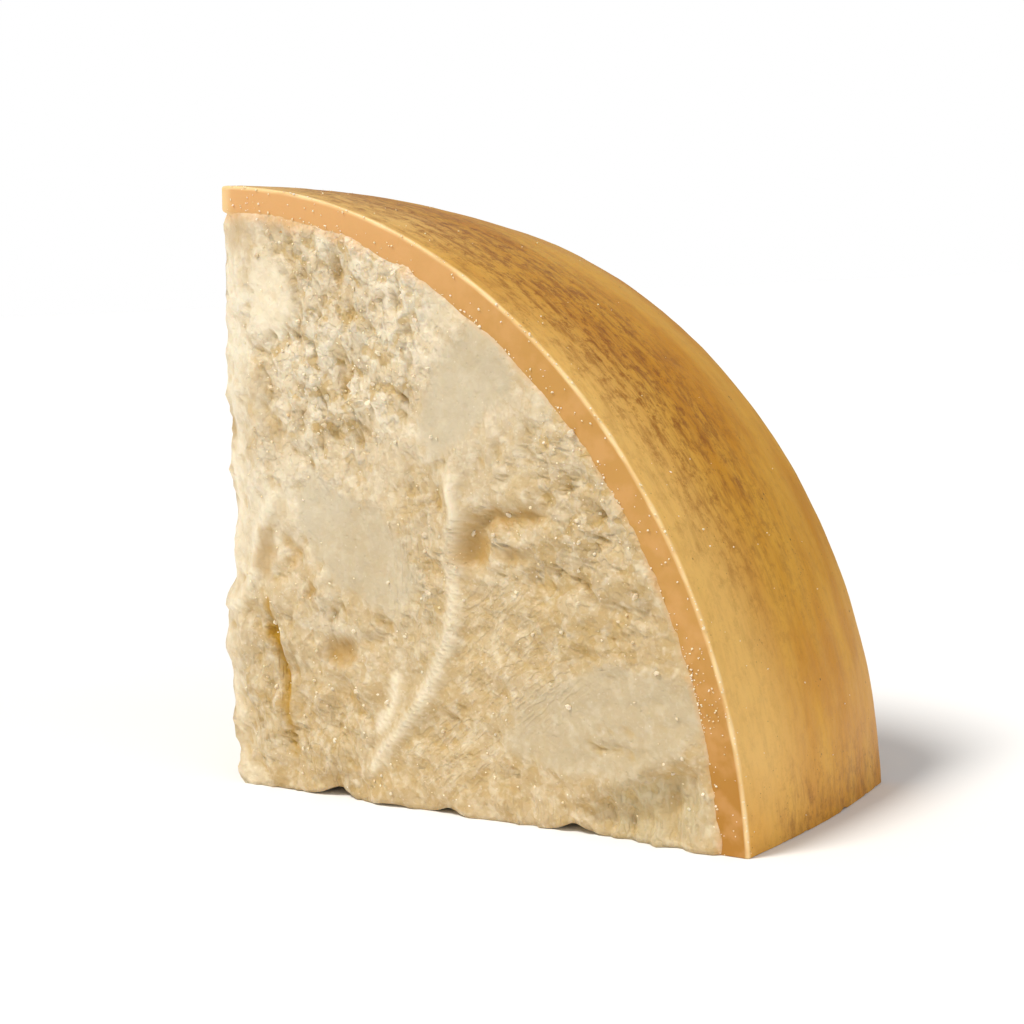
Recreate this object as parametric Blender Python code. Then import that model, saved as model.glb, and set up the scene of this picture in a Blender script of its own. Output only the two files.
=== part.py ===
"""One eighth of a wheel of hard grating cheese, standing on one of its two broken radial faces.

The wheel's axis runs along Y. The piece was split off at the wheel's mid-height (the broken front
face, towards -Y) and along two radii (the base, and the upright face on the left). Its back is the
wheel's flat rind, and its curved outside is the wheel's barrel-shaped side. Metres, +Z up.

All shape functions work in millimetres in the wheel's own frame: X along the base from the wheel's
axis to the rind, Y from the front face to the back, Z up. The finished solid is then centred over
the origin.
"""

import math

import bmesh
import bpy
import numpy as np

# Driving dimensions, in millimetres and degrees.
WHEEL_RADIUS = 220.0  # at the wheel's mid-height, where the front face was split
FLAT_FACE_RADIUS = 207.0  # where the barrel side meets the wheel's flat face
HALF_HEIGHT = 112.0  # from the split face to the flat rind at the back
BARREL_POWER = 2.2  # how late the barrel side starts to draw in
BACK_EDGE_ROUND = 5.0  # round between the side and the flat face
WEDGE_DEG = 86.0  # angle between the two radial faces
FRONT_LEAN_DEG = 1.6  # the split face leans outwards towards its top

RIND_BAND = (6.5, 11.5)  # width of the smooth rind section at the left face and from mid-arc on
PASTE_SINK = 1.6  # how far the broken paste lies below the smooth rind section

# Mesh density before the surface is thinned to what its shape needs.
FACE_CUTS = 104  # along each radius
DEPTH_CUTS = 34  # from front to back
TRIANGLES = 11600
STANDING_SNAP = 0.35  # whatever of the underside is nearer the table than this stands on it

NUGGET_STEEPNESS = 14.0  # how sharply one lump steps to the next

# Crumbly ground: centre, half sizes, turn in degrees, and how strongly it crumbles there.
CRUMBLES = (
    ((62.0, 165.0), (44.0, 42.0), -20.0, 1.5),
    ((164.0, 119.0), (27.0, 15.0), -52.0, 1.3),
    ((150.0, 70.0), (38.0, 20.0), -20.0, 0.5),
)
GROUND_CRUMBLE = 0.42  # how strongly the rest of the broken face crumbles
# Smooth slabs where the paste parted cleanly: centre, half sizes, turn in degrees, level.
SLABS = (
    ((31.0, 180.0), (9.0, 15.0), 10.0, -0.4),
    ((117.0, 146.0), (28.0, 16.0), 44.0, -0.4),
    ((64.0, 93.0), (33.0, 15.0), -40.0, -2.6),
    ((168.0, 37.0), (43.0, 17.0), 16.0, 0.2),
)
# Scooped hollows: centre, half sizes, turn in degrees, depth.
HOLLOWS = (
    ((118.0, 99.0), (17.0, 8.0), 38.0, 7.5),
    ((132.0, 87.0), (13.0, 4.5), -6.0, 3.0),
    ((55.0, 53.0), (11.0, 7.5), 0.0, 4.5),
    ((193.0, 12.0), (9.0, 15.0), -14.0, 5.5),
    ((175.0, 8.0), (26.0, 9.0), 12.0, 2.6),
    ((22.0, 96.0), (4.5, 13.0), -20.0, 4.0),
    ((60.0, 139.0), (36.0, 6.0), -3.0, 2.4),
    ((46.0, 123.0), (20.0, 4.0), -6.0, 1.6),
    ((163.0, 80.0), (12.0, 3.0), -32.0, 2.6),
    ((62.0, 160.0), (7.0, 9.0), 20.0, 2.0),
)
# Raised ridges: their line, height, and the width of each flank, left and right of the line.
RIDGES = (
    (((111.0, 120.0), (106.5, 104.0), (105.5, 86.0), (103.0, 64.0), (93.0, 45.0), (79.0, 27.0),
      (66.0, 6.0)), 4.2, 11.0, 5.0),
    (((23.0, 205.0), (23.0, 160.0), (24.0, 118.0), (20.0, 96.0), (9.0, 80.0), (-4.0, 72.0)),
     2.6, 14.0, 3.2),
    (((56.0, 80.0), (74.0, 62.0), (80.0, 44.0), (76.0, 24.0), (70.0, 8.0)), 1.5, 6.0, 4.0),
)
# Cracks: their line, half width at the mouth and depth.
CRACKS = (
    (((19.5, 66.0), (22.0, 57.0), (23.5, 44.0), (26.0, 30.0), (28.5, 12.0)), 2.8, 8.0),
)
# Ground drawn out into fibres: centre, half sizes, turn of the fibres in degrees, height.
FIBRES = (
    ((93.0, 66.0), (13.0, 36.0), 84.0, 1.0),
    ((135.0, 50.0), (34.0, 22.0), -58.0, 0.7),
    ((168.0, 8.0), (42.0, 11.0), 82.0, 1.4),
    ((38.0, 28.0), (30.0, 26.0), 92.0, 0.8),
)
# Bites out of the front edge of the base: place along the base, half width and height.
BASE_BITES = ((46.5, 6.0, 3.4), (100.0, 5.0, 2.2), (153.0, 6.0, 3.0), (74.0, 7.0, 1.0))
LEFT_MARGIN = 15.0  # strip along the left of the front face that falls away to the left face
LEFT_MARGIN_DROP = 6.5
# How far the broken left face stands out past its radius: heights and swellings.
LEFT_SWELLING = (
    (0.0, 12.0, 28.0, 50.0, 70.0, 79.0, 88.0, 110.0, 150.0, 190.0, 207.0, 214.0, 225.0),
    (0.5, 2.0, 8.0, 12.6, 10.6, 6.6, 5.6, 6.4, 7.6, 8.8, 7.2, 1.6, 0.0),
)

PASTE_COLOUR = (0.75, 0.60, 0.37, 1.0)
PASTE_ROUGHNESS = 0.6


def remove_scene_objects():
    """Starts from a scene with no objects."""
    for obj in list(bpy.data.objects):
        bpy.data.objects.remove(obj, do_unlink=True)


def smooth_step(low, high, value):
    """0 below low, 1 above high, and a smooth rise between them."""
    share = np.clip((value - low) / (high - low), 0.0, 1.0)
    return share * share * (3.0 - 2.0 * share)


def lattice_number(cell, seed):
    """A repeatable number from 0 to 1 for each whole-number lattice point in the rows of cell."""
    mixed = cell[..., 0] * 374761393 + cell[..., 1] * 668265263 + cell[..., 2] * 1442695041
    mixed = (mixed + seed * 974711) & 0xFFFFFFFF
    mixed = ((mixed ^ (mixed >> 13)) * 1274126177) & 0xFFFFFFFF
    mixed = ((mixed ^ (mixed >> 15)) * 2246822519) & 0xFFFFFFFF
    return ((mixed ^ (mixed >> 16)) & 0xFFFFFF) / float(0x1000000)


def smooth_noise(points, size, seed):
    """Smooth noise from about -1 to 1 whose lumps are about size across."""
    scaled = points / size
    corner = np.floor(scaled).astype(np.int64)
    part = scaled - corner
    ease = part * part * part * (part * (part * 6.0 - 15.0) + 10.0)
    total = np.zeros(len(points))
    for offset in np.ndindex(2, 2, 2):
        step = np.array(offset)
        weight = np.prod(np.where(step == 1, ease, 1.0 - ease), axis=1)
        slope = np.stack([lattice_number(corner + step, seed * 5 + axis) for axis in range(3)], axis=1)
        total += weight * ((slope * 2.0 - 1.0) * (part - step)).sum(axis=1)
    return total * 1.9


def rough_noise(points, size, seed, octaves=3):
    """Smooth noise with finer and weaker noise added to it."""
    total = np.zeros(len(points))
    for octave in range(octaves):
        total += smooth_noise(points, size / 2.0**octave, seed + octave) / 1.8**octave
    return total / 1.4


def folded_noise(points, size, seed, octaves=2):
    """Noise folded at its middle: rounded lumps between narrow creases, from about -1 to 1."""
    total = np.zeros(len(points))
    for octave in range(octaves):
        wave = smooth_noise(points, size / 2.0**octave, seed + octave)
        total += (np.sqrt(wave * wave + 0.003) * 2.6 - 0.8) / 1.9**octave
    return total / 1.4


def nuggets(points, size, seed):
    """Broken lumps about size across, each with its own level and tilt, from about -1 to 1."""
    scaled = points / size
    base = np.floor(scaled).astype(np.int64)
    nearest = np.full(len(points), np.inf)
    second = np.full(len(points), np.inf)
    total = np.zeros(len(points))
    weights = np.full(len(points), 1e-12)
    for offset in np.ndindex(3, 3, 3):
        cell = base + np.array(offset) - 1
        centre = cell + np.stack([lattice_number(cell, seed + axis) for axis in range(3)], axis=1)
        away = scaled - centre
        squared = (away * away).sum(axis=1)
        tilt = np.stack([lattice_number(cell, seed + 3 + axis) for axis in range(3)], axis=1) - 0.5
        here = (lattice_number(cell, seed + 6) * 2.0 - 1.0) * 0.6 + (away * tilt).sum(axis=1) * 1.4
        weight = np.exp(-NUGGET_STEEPNESS * squared)
        total += weight * here
        weights += weight
        distance = np.sqrt(squared)
        second = np.minimum(second, np.maximum(nearest, distance))
        nearest = np.minimum(nearest, distance)
    seam = 1.0 - smooth_step(0.0, 0.35, second - nearest)
    return total / weights - 0.25 * seam


def warp(points, size, reach, seed):
    """Uneven shifts of up to about reach that bend whatever pattern is read through them."""
    return np.stack([rough_noise(points, size, seed + axis) for axis in range(3)], axis=1) * reach


def turned_offset(x, z, centre, half_sizes, turn_deg):
    """Distance from the centre of a turned oval, as a share of its half sizes."""
    turn = math.radians(turn_deg)
    along = (x - centre[0]) * math.cos(turn) + (z - centre[1]) * math.sin(turn)
    across = (z - centre[1]) * math.cos(turn) - (x - centre[0]) * math.sin(turn)
    return np.hypot(along / half_sizes[0], across / half_sizes[1])


def line_distance(x, z, line):
    """Distance to a broken line, the side (positive on its left) and the share of its length."""
    best = np.full(len(x), np.inf)
    side = np.zeros(len(x))
    share = np.zeros(len(x))
    pieces = list(zip(line[:-1], line[1:]))
    for index, ((x0, z0), (x1, z1)) in enumerate(pieces):
        dx, dz = x1 - x0, z1 - z0
        along = np.clip(((x - x0) * dx + (z - z0) * dz) / (dx * dx + dz * dz), 0.0, 1.0)
        away = np.hypot(x - x0 - along * dx, z - z0 - along * dz)
        closer = away < best
        best = np.where(closer, away, best)
        side = np.where(closer, np.sign(dx * (z - z0) - dz * (x - x0)), side)
        share = np.where(closer, (index + along) / len(pieces), share)
    return best, side, share


def barrel_radius(y):
    """Outer radius of the wheel at depth y, with the round edge at its flat face."""
    radius = WHEEL_RADIUS - (WHEEL_RADIUS - FLAT_FACE_RADIUS) * (y / HALF_HEIGHT) ** BARREL_POWER
    into_round = np.clip((y - HALF_HEIGHT + BACK_EDGE_ROUND) / BACK_EDGE_ROUND, 0.0, 1.0)
    return radius - BACK_EDGE_ROUND * (1.0 - np.sqrt(1.0 - into_round**2))


def band_width(angle_share):
    """Width of the smooth rind section, from the base (0) to the left face (1)."""
    return RIND_BAND[1] + (RIND_BAND[0] - RIND_BAND[1]) * smooth_step(0.45, 1.0, angle_share)


def crumble_strength(x, z):
    """How strongly the broken front face crumbles at each place."""
    strength = np.full(len(x), GROUND_CRUMBLE)
    for centre, half_sizes, turn, amount in CRUMBLES:
        edge = turned_offset(x, z, centre, half_sizes, turn)
        strength = strength + (amount - GROUND_CRUMBLE) * (1.0 - smooth_step(0.6, 1.1, edge))
    return np.maximum(strength, GROUND_CRUMBLE)


def fibre_relief(x, z):
    """Height of the ground that broke into fibres."""
    total = np.zeros(len(x))
    for index, (centre, half_sizes, turn_deg, height) in enumerate(FIBRES):
        turn = math.radians(turn_deg)
        along = x * math.cos(turn) + z * math.sin(turn)
        across = z * math.cos(turn) - x * math.sin(turn)
        drawn = np.stack([along / 5.0, across, np.zeros_like(x)], axis=1)
        inside = 1.0 - smooth_step(0.5, 1.0, turned_offset(x, z, centre, half_sizes, 0.0))
        total += height * inside * rough_noise(drawn, 6.0, 401 + index * 7, octaves=2)
    return total


def front_relief(x, z):
    """Level of the broken front face against its plane, positive towards the viewer."""
    points = np.stack([x, np.zeros_like(x), z], axis=1)
    wide = warp(points, 30.0, 6.0, 11)
    near = warp(points, 8.0, 2.4, 21)
    swell = rough_noise(points, 60.0, 5) * 2.4
    lumps = nuggets(points + near, 11.0, 51) * 1.5 + nuggets(points + near * 1.4, 6.0, 71) * 0.9
    ground = folded_noise(points + near, 15.0, 91) * 0.9 + rough_noise(points + near, 7.0, 95) * 0.7
    strength = crumble_strength(x, z)
    level = -PASTE_SINK + swell + lumps * strength * 0.8 + ground * (0.5 + 0.5 * strength)
    level = level + fibre_relief(x + near[:, 0] * 0.5, z)
    edged_x = x + wide[:, 0] + near[:, 0]
    edged_z = z + wide[:, 2] + near[:, 2]
    for centre, half_sizes, turn, slab_level in SLABS:
        inside = 1.0 - smooth_step(0.86, 1.0, turned_offset(edged_x, edged_z, centre, half_sizes, turn))
        level = level * (1.0 - inside) + (slab_level + swell * 0.5 + ground * 0.12) * inside
    for centre, half_sizes, turn, depth in HOLLOWS:
        edge = turned_offset(x + near[:, 0], z + near[:, 2], centre, half_sizes, turn)
        level = level - depth * (1.0 - smooth_step(0.3, 1.1, edge))
    for line, height, left_flank, right_flank in RIDGES:
        away, side, share = line_distance(x + near[:, 0] * 0.8 + wide[:, 0] * 0.25, z, line)
        # The lines run downwards, so their viewer's right is the positive side.
        flank = np.where(side > 0, right_flank, left_flank)
        whole = smooth_step(0.0, 0.12, share) * (1.0 - smooth_step(0.88, 1.0, share))
        level = level + height * whole * np.exp(-((away / flank) ** 1.5))
    for line, half_width, depth in CRACKS:
        away, _, share = line_distance(x + near[:, 0] * 0.5, z, line)
        mouth = half_width * (1.0 - 0.55 * share)
        level = level - depth * (1.0 - 0.5 * share) * np.exp(-((away / mouth) ** 2))
    margin = np.clip(1.0 - (x - left_edge(z)) / LEFT_MARGIN, 0.0, 1.0)
    return level - LEFT_MARGIN_DROP * margin**1.3 * smooth_step(8.0, 40.0, z)


def left_swelling(z):
    """How far the broken left face stands out past its radius near the front."""
    return np.interp(z, *LEFT_SWELLING)


def left_edge(z):
    """Where the front face's left margin starts, along X."""
    return z * math.tan(math.radians(90.0 - WEDGE_DEG)) - left_swelling(z)


def radial_relief(points, seed):
    """Broken relief of a radial face, in millimetres either side of its plane."""
    near = warp(points, 8.0, 2.4, seed)
    swell = rough_noise(points, 48.0, seed + 4) * 2.6
    lumps = nuggets(points + near, 12.0, seed + 8) * 0.9
    return swell + lumps + folded_noise(points + near, 15.0, seed + 9) * 0.9


def base_recess(x, y):
    """How far the underside is hollow above the surface it stands on; 0 where it stands."""
    points = np.stack([x, y, np.zeros_like(x)], axis=1)
    from_front = smooth_step(2.0, 24.0, y)
    recess = np.maximum(radial_relief(points, 201) + 0.6, 0.0) * (0.15 + 0.85 * from_front)
    for place, half_width, height in BASE_BITES:
        recess = recess + height * (1.0 - from_front) * np.exp(-(((x - place) / half_width) ** 2))
    return recess


def paste_share(depth_left, angle_share, y):
    """1 where a broken face is paste, 0 on the smooth rind section along its outer and back edges."""
    outer = smooth_step(0.0, 4.0, depth_left - band_width(angle_share))
    back = 1.0 - smooth_step(HALF_HEIGHT - band_width(0.0) - 4.0, HALF_HEIGHT - band_width(0.0), y)
    return outer, outer * back


def wedge_from_cube(cube):
    """Places points of a unit cube on the piece: cube X and Z span the sector, cube Y its depth."""
    u, w, v = cube.T
    share = np.maximum(u, v)
    safe = np.maximum(share, 1e-9)
    angle_share = np.where(u >= v, 0.5 * v / safe, 1.0 - 0.5 * u / safe)
    wedge = math.radians(WEDGE_DEG)
    angle = wedge * angle_share
    y = w * HALF_HEIGHT
    outer = barrel_radius(y)
    radius = share * outer
    x, z = radius * np.cos(angle), radius * np.sin(angle)
    depth_left = outer - radius
    on_front, on_radial = paste_share(depth_left, angle_share, y)

    from_left = radius * np.sin(wedge - angle)
    points = np.stack([np.zeros_like(y), y, z], axis=1)
    swelling = left_swelling(z) * (0.2 + 0.8 * (1.0 - w) ** 2) + radial_relief(points, 301) * 0.8
    push = swelling * on_radial * np.clip(1.0 - from_left / 26.0, 0.0, 1.0)
    rise = base_recess(x, y) * on_radial * np.clip(1.0 - z / 22.0, 0.0, 1.0)
    x = x - push * math.sin(wedge)
    z = np.maximum(z + push * math.cos(wedge), 0.0) + rise

    front = -z * math.tan(math.radians(FRONT_LEAN_DEG)) - front_relief(x, z) * on_front
    y = y + (1.0 - w) * front
    return np.stack([x, y, z], axis=1)


def gridded_cube():
    """A unit cube in one corner of space whose faces are cut into a fine grid."""
    mesh = bmesh.new()
    bmesh.ops.create_cube(mesh, size=1.0)
    bmesh.ops.translate(mesh, verts=mesh.verts, vec=(0.5, 0.5, 0.5))
    for axis, cuts in ((0, FACE_CUTS), (2, FACE_CUTS), (1, DEPTH_CUTS)):
        along = []
        for edge in mesh.edges:
            a, b = edge.verts
            if abs(a.co[axis] - b.co[axis]) > 0.5:
                along.append(edge)
        bmesh.ops.subdivide_edges(mesh, edges=along, cuts=cuts - 1, use_grid_fill=True)
    return mesh


def centred_over_origin(places):
    """Moves points so that their box stands on z = 0 with its centre over the origin."""
    low, high = places.min(axis=0), places.max(axis=0)
    middle = (low + high) / 2.0
    return places - np.array([middle[0], middle[1], low[2]])


def paste_material():
    """Pale, slightly waxy grating cheese."""
    material = bpy.data.materials.new("hard_cheese")
    material.use_nodes = True
    shader = material.node_tree.nodes["Principled BSDF"]
    shader.inputs["Base Color"].default_value = PASTE_COLOUR
    shader.inputs["Roughness"].default_value = PASTE_ROUGHNESS
    shader.inputs["Metallic"].default_value = 0.0
    return material


def thinned_mesh(mesh):
    """Thins a mesh to TRIANGLES faces, keeping them where its shape needs them."""
    dense = bpy.data.objects.new("dense_cheese", mesh)
    bpy.context.scene.collection.objects.link(dense)
    thin = dense.modifiers.new("thin_to_shape", "DECIMATE")
    thin.decimate_type = "COLLAPSE"
    thin.ratio = TRIANGLES / len(mesh.polygons)
    graph = bpy.context.evaluated_depsgraph_get()
    thinned = bpy.data.meshes.new_from_object(dense.evaluated_get(graph))
    bpy.data.objects.remove(dense, do_unlink=True)
    return thinned


def make_cheese(collection):
    """Builds the one solid of the piece."""
    grid = gridded_cube()
    cube = np.array([vert.co for vert in grid.verts])
    for vert, place in zip(grid.verts, wedge_from_cube(cube)):
        vert.co = place
    bmesh.ops.triangulate(grid, faces=grid.faces)
    dense = bpy.data.meshes.new("dense_cheese")
    grid.to_mesh(dense)
    grid.free()

    mesh = thinned_mesh(dense)
    mesh.name = "cheese"
    places = np.array([vert.co for vert in mesh.vertices])
    places[places[:, 2] < STANDING_SNAP, 2] = 0.0
    mesh.vertices.foreach_set("co", (centred_over_origin(places) / 1000.0).ravel())
    mesh.update()
    cheese = bpy.data.objects.new("cheese", mesh)
    collection.objects.link(cheese)
    mesh.materials.append(paste_material())
    return cheese


def main():
    """Builds the piece in its own collection."""
    remove_scene_objects()
    collection = bpy.data.collections.new("hard_cheese_chunk")
    bpy.context.scene.collection.children.link(collection)
    make_cheese(collection)


main()
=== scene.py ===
"""Looks of a hard cheese chunk: an eighth of a grating-cheese wheel with broken faces and a waxy rind.

The chunk stands on one broken radial face. Its front is the face where the wheel was split at
mid-height, and its curved outside and flat back are rind. Shapes are worked out in millimetres in
the wheel's own frame, with X along the base from the wheel's axis to the rind, Y from the front
face to the back and Z up, and are then placed in the CAD model's frame.
"""

from __future__ import annotations

import logging
import math
from dataclasses import dataclass
from enum import Enum

import bpy
import numpy as np
from mathutils import Matrix, Vector

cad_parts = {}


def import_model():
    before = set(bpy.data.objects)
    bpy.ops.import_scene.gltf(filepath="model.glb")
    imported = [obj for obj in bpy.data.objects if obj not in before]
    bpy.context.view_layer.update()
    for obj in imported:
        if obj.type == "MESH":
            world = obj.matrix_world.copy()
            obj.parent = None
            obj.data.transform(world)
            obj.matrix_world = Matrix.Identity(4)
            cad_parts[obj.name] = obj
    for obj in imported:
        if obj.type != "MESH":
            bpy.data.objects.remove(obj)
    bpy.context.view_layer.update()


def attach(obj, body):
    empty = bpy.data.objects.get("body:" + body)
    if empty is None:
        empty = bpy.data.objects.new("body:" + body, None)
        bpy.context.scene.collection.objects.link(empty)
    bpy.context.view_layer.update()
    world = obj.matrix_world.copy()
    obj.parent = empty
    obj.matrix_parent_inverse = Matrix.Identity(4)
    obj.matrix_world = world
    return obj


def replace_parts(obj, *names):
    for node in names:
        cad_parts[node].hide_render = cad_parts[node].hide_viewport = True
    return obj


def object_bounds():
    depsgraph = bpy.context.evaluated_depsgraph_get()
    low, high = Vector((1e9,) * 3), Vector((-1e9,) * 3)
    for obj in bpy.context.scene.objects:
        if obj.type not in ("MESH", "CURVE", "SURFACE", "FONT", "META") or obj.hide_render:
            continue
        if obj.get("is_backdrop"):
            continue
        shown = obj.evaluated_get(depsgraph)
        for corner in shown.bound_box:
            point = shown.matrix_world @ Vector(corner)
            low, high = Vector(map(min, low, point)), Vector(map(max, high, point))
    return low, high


LOG = logging.getLogger("cheese")
MM = 0.001
CHEESE_IOR = 1.45
GLOW_RADII = (1.0, 0.6, 0.28)
Array = np.ndarray
Pair = tuple[float, float]


# ---------------------------------------------------------------------------------------------
# Noise, in millimetres
# ---------------------------------------------------------------------------------------------


def smooth_step(low: float, high: float, value: Array) -> Array:
    """0 below low, 1 above high, and a smooth rise between them."""
    share = np.clip((value - low) / (high - low), 0.0, 1.0)
    return share * share * (3.0 - 2.0 * share)


def lattice_number(cell: Array, seed: int) -> Array:
    """Gives a repeatable number from 0 to 1 for each whole-number lattice point.

    Args:
        cell: Lattice points, the last axis holding three whole numbers.
        seed: Which of many unlike sets of numbers to give.

    Returns:
        One number for each lattice point.
    """
    mixed = cell[..., 0] * 374761393 + cell[..., 1] * 668265263 + cell[..., 2] * 1442695041
    mixed = (mixed + seed * 974711) & 0xFFFFFFFF
    mixed = ((mixed ^ (mixed >> 13)) * 1274126177) & 0xFFFFFFFF
    mixed = ((mixed ^ (mixed >> 15)) * 2246822519) & 0xFFFFFFFF
    return ((mixed ^ (mixed >> 16)) & 0xFFFFFF) / float(0x1000000)


def smooth_noise(points: Array, size: float, seed: int) -> Array:
    """Smooth noise from about -1 to 1 whose lumps are about size across."""
    scaled = points / size
    corner = np.floor(scaled).astype(np.int64)
    part = scaled - corner
    ease = part * part * part * (part * (part * 6.0 - 15.0) + 10.0)
    total = np.zeros(len(points))
    for offset in np.ndindex(2, 2, 2):
        step = np.array(offset)
        weight = np.prod(np.where(step == 1, ease, 1.0 - ease), axis=1)
        slope = np.stack([lattice_number(corner + step, seed * 5 + axis) for axis in range(3)], axis=1)
        total += weight * ((slope * 2.0 - 1.0) * (part - step)).sum(axis=1)
    return total * 1.9


def rough_noise(points: Array, size: float, seed: int, octaves: int = 3) -> Array:
    """Smooth noise with finer and weaker noise added to it."""
    total = np.zeros(len(points))
    for octave in range(octaves):
        total += smooth_noise(points, size / 2.0**octave, seed + octave) / 1.8**octave
    return total / 1.4


def folded_noise(points: Array, size: float, seed: int, octaves: int = 2) -> Array:
    """Noise folded at its middle: rounded lumps between narrow creases, from about -1 to 1."""
    total = np.zeros(len(points))
    for octave in range(octaves):
        wave = smooth_noise(points, size / 2.0**octave, seed + octave)
        total += (np.sqrt(wave * wave + 0.003) * 2.6 - 0.8) / 1.9**octave
    return total / 1.4


def nuggets(
    points: Array,
    size: float,
    seed: int,
    steepness: float = 14.0,
    seam: float = 0.25,
    dome: float = 0.0,
) -> Array:
    """Broken lumps about size across, each with its own level and tilt.

    Args:
        points: Places, one row each.
        size: Width of a lump.
        seed: Which set of lumps to give.
        steepness: How sharply one lump steps to the next.
        seam: Depth of the groove between lumps.
        dome: How much each lump is rounded up at its middle.

    Returns:
        Levels from about -1 to 1.
    """
    scaled = points / size
    base = np.floor(scaled).astype(np.int64)
    nearest = np.full(len(points), np.inf)
    second = np.full(len(points), np.inf)
    total = np.zeros(len(points))
    weights = np.full(len(points), 1e-12)
    for offset in np.ndindex(3, 3, 3):
        cell = base + np.array(offset) - 1
        centre = cell + np.stack([lattice_number(cell, seed + axis) for axis in range(3)], axis=1)
        away = scaled - centre
        squared = (away * away).sum(axis=1)
        tilt = np.stack([lattice_number(cell, seed + 3 + axis) for axis in range(3)], axis=1) - 0.5
        here = (lattice_number(cell, seed + 6) * 2.0 - 1.0) * 0.6 + (away * tilt).sum(axis=1) * 1.4
        here = here + dome * (0.3 - squared)
        weight = np.exp(-steepness * squared)
        total += weight * here
        weights += weight
        distance = np.sqrt(squared)
        second = np.minimum(second, np.maximum(nearest, distance))
        nearest = np.minimum(nearest, distance)
    groove = 1.0 - smooth_step(0.0, 0.35, second - nearest)
    return total / weights - seam * groove


def flaked(points: Array, size: float, levels: float, seed: int, riser: float = 0.7) -> Array:
    """Thin flakes lying one on another, from about -1 to 1; riser is the share of a flake that slopes."""
    height = rough_noise(points, size, seed, 2) * levels
    under = np.floor(height)
    return (under + smooth_step(0.0, riser, height - under)) / levels


def warp(points: Array, size: float, reach: float, seed: int, octaves: int = 2) -> Array:
    """Uneven shifts of up to about reach that bend whatever pattern is read through them."""
    return np.stack([rough_noise(points, size, seed + axis, octaves) for axis in range(3)], axis=1) * reach


# ---------------------------------------------------------------------------------------------
# The wheel and the broken face
# ---------------------------------------------------------------------------------------------


@dataclass(frozen=True)
class Wheel:
    """The chunk's place in its wheel, in millimetres and degrees.

    The sizes are those of the CAD solid. origin is where the wheel's frame lies in the row frame.
    """

    origin: Pair
    radius: float = 220.0
    flat_face_radius: float = 207.0
    half_height: float = 112.0
    barrel_power: float = 2.2
    back_edge_round: float = 5.0
    wedge_deg: float = 86.0
    front_lean_deg: float = 1.6
    band_at_left: float = 8.6
    band_at_base: float = 10.4

    @classmethod
    def from_frame(cls) -> Wheel:
        """Places the wheel by the CAD box: its rind ends the box in +X, its back in +Y."""
        _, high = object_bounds()
        return cls(origin=(high[0] / MM - cls.radius, high[1] / MM - cls.half_height))

    @property
    def wedge(self) -> float:
        """Angle between the two radial faces, in radians."""
        return math.radians(self.wedge_deg)

    def barrel_radius(self, y: Array) -> Array:
        """Outer radius at depth y, with the round edge at the wheel's flat face."""
        share = np.clip(y / self.half_height, 0.0, 1.0)
        drawn_in = (self.radius - self.flat_face_radius) * share**self.barrel_power
        into_round = (y - self.half_height + self.back_edge_round) / self.back_edge_round
        into_round = np.clip(into_round, 0.0, 1.0)
        return self.radius - drawn_in - self.back_edge_round * (1.0 - np.sqrt(1.0 - into_round**2))

    def band_width(self, angle_share: Array) -> Array:
        """Width of the smooth rind section, from the base (0) to the left face (1)."""
        towards_left = smooth_step(0.55, 1.0, angle_share)
        return self.band_at_base + (self.band_at_left - self.band_at_base) * towards_left

    def front_plane(self, z: Array) -> Array:
        """Depth of the leaning plane that the front face was broken along."""
        return -z * math.tan(math.radians(self.front_lean_deg))

    def to_row(self, places: Array) -> Array:
        """Turns millimetres in the wheel's frame into metres in the row frame."""
        return (places + np.array([self.origin[0], self.origin[1], 0.0])) * MM


@dataclass(frozen=True)
class Patch:
    """A turned oval patch of the broken face.

    amount is a crumble strength, a slab's level, a hollow's depth, the height of fibres or the
    strength of a tint.
    """

    centre: Pair
    half_sizes: Pair
    turn_deg: float
    amount: float

    def reach(self, x: Array, z: Array) -> Array:
        """Distance from the patch's centre as a share of its half sizes."""
        turn = math.radians(self.turn_deg)
        along = (x - self.centre[0]) * math.cos(turn) + (z - self.centre[1]) * math.sin(turn)
        across = (z - self.centre[1]) * math.cos(turn) - (x - self.centre[0]) * math.sin(turn)
        return np.hypot(along / self.half_sizes[0], across / self.half_sizes[1])


@dataclass(frozen=True)
class Ridge:
    """A raised fold or ledge that runs down the broken face.

    The flanks are its widths to the left and the right, and ragged is how far its line is torn.
    """

    line: tuple[Pair, ...]
    height: float
    left_flank: float
    right_flank: float
    ragged: float = 0.5


@dataclass(frozen=True)
class Crack:
    """A narrow slot in the broken face, widest at the line's start."""

    line: tuple[Pair, ...]
    half_width: float
    depth: float


def line_distance(x: Array, z: Array, line: tuple[Pair, ...]) -> tuple[Array, Array, Array]:
    """Measures places against a line of straight runs.

    Args:
        x: Places along the base.
        z: Heights.
        line: The line's points.

    Returns:
        The distance, the side of the line (1 or -1), and how far along the line, from 0 to 1.
    """
    best = np.full(len(x), np.inf)
    side = np.zeros(len(x))
    share = np.zeros(len(x))
    runs = list(zip(line[:-1], line[1:]))
    for index, ((x0, z0), (x1, z1)) in enumerate(runs):
        dx, dz = x1 - x0, z1 - z0
        along = np.clip(((x - x0) * dx + (z - z0) * dz) / (dx * dx + dz * dz), 0.0, 1.0)
        away = np.hypot(x - x0 - along * dx, z - z0 - along * dz)
        closer = away < best
        best = np.where(closer, away, best)
        side = np.where(closer, np.sign(dx * (z - z0) - dz * (x - x0)), side)
        share = np.where(closer, (index + along) / len(runs), share)
    return best, side, share


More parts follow.
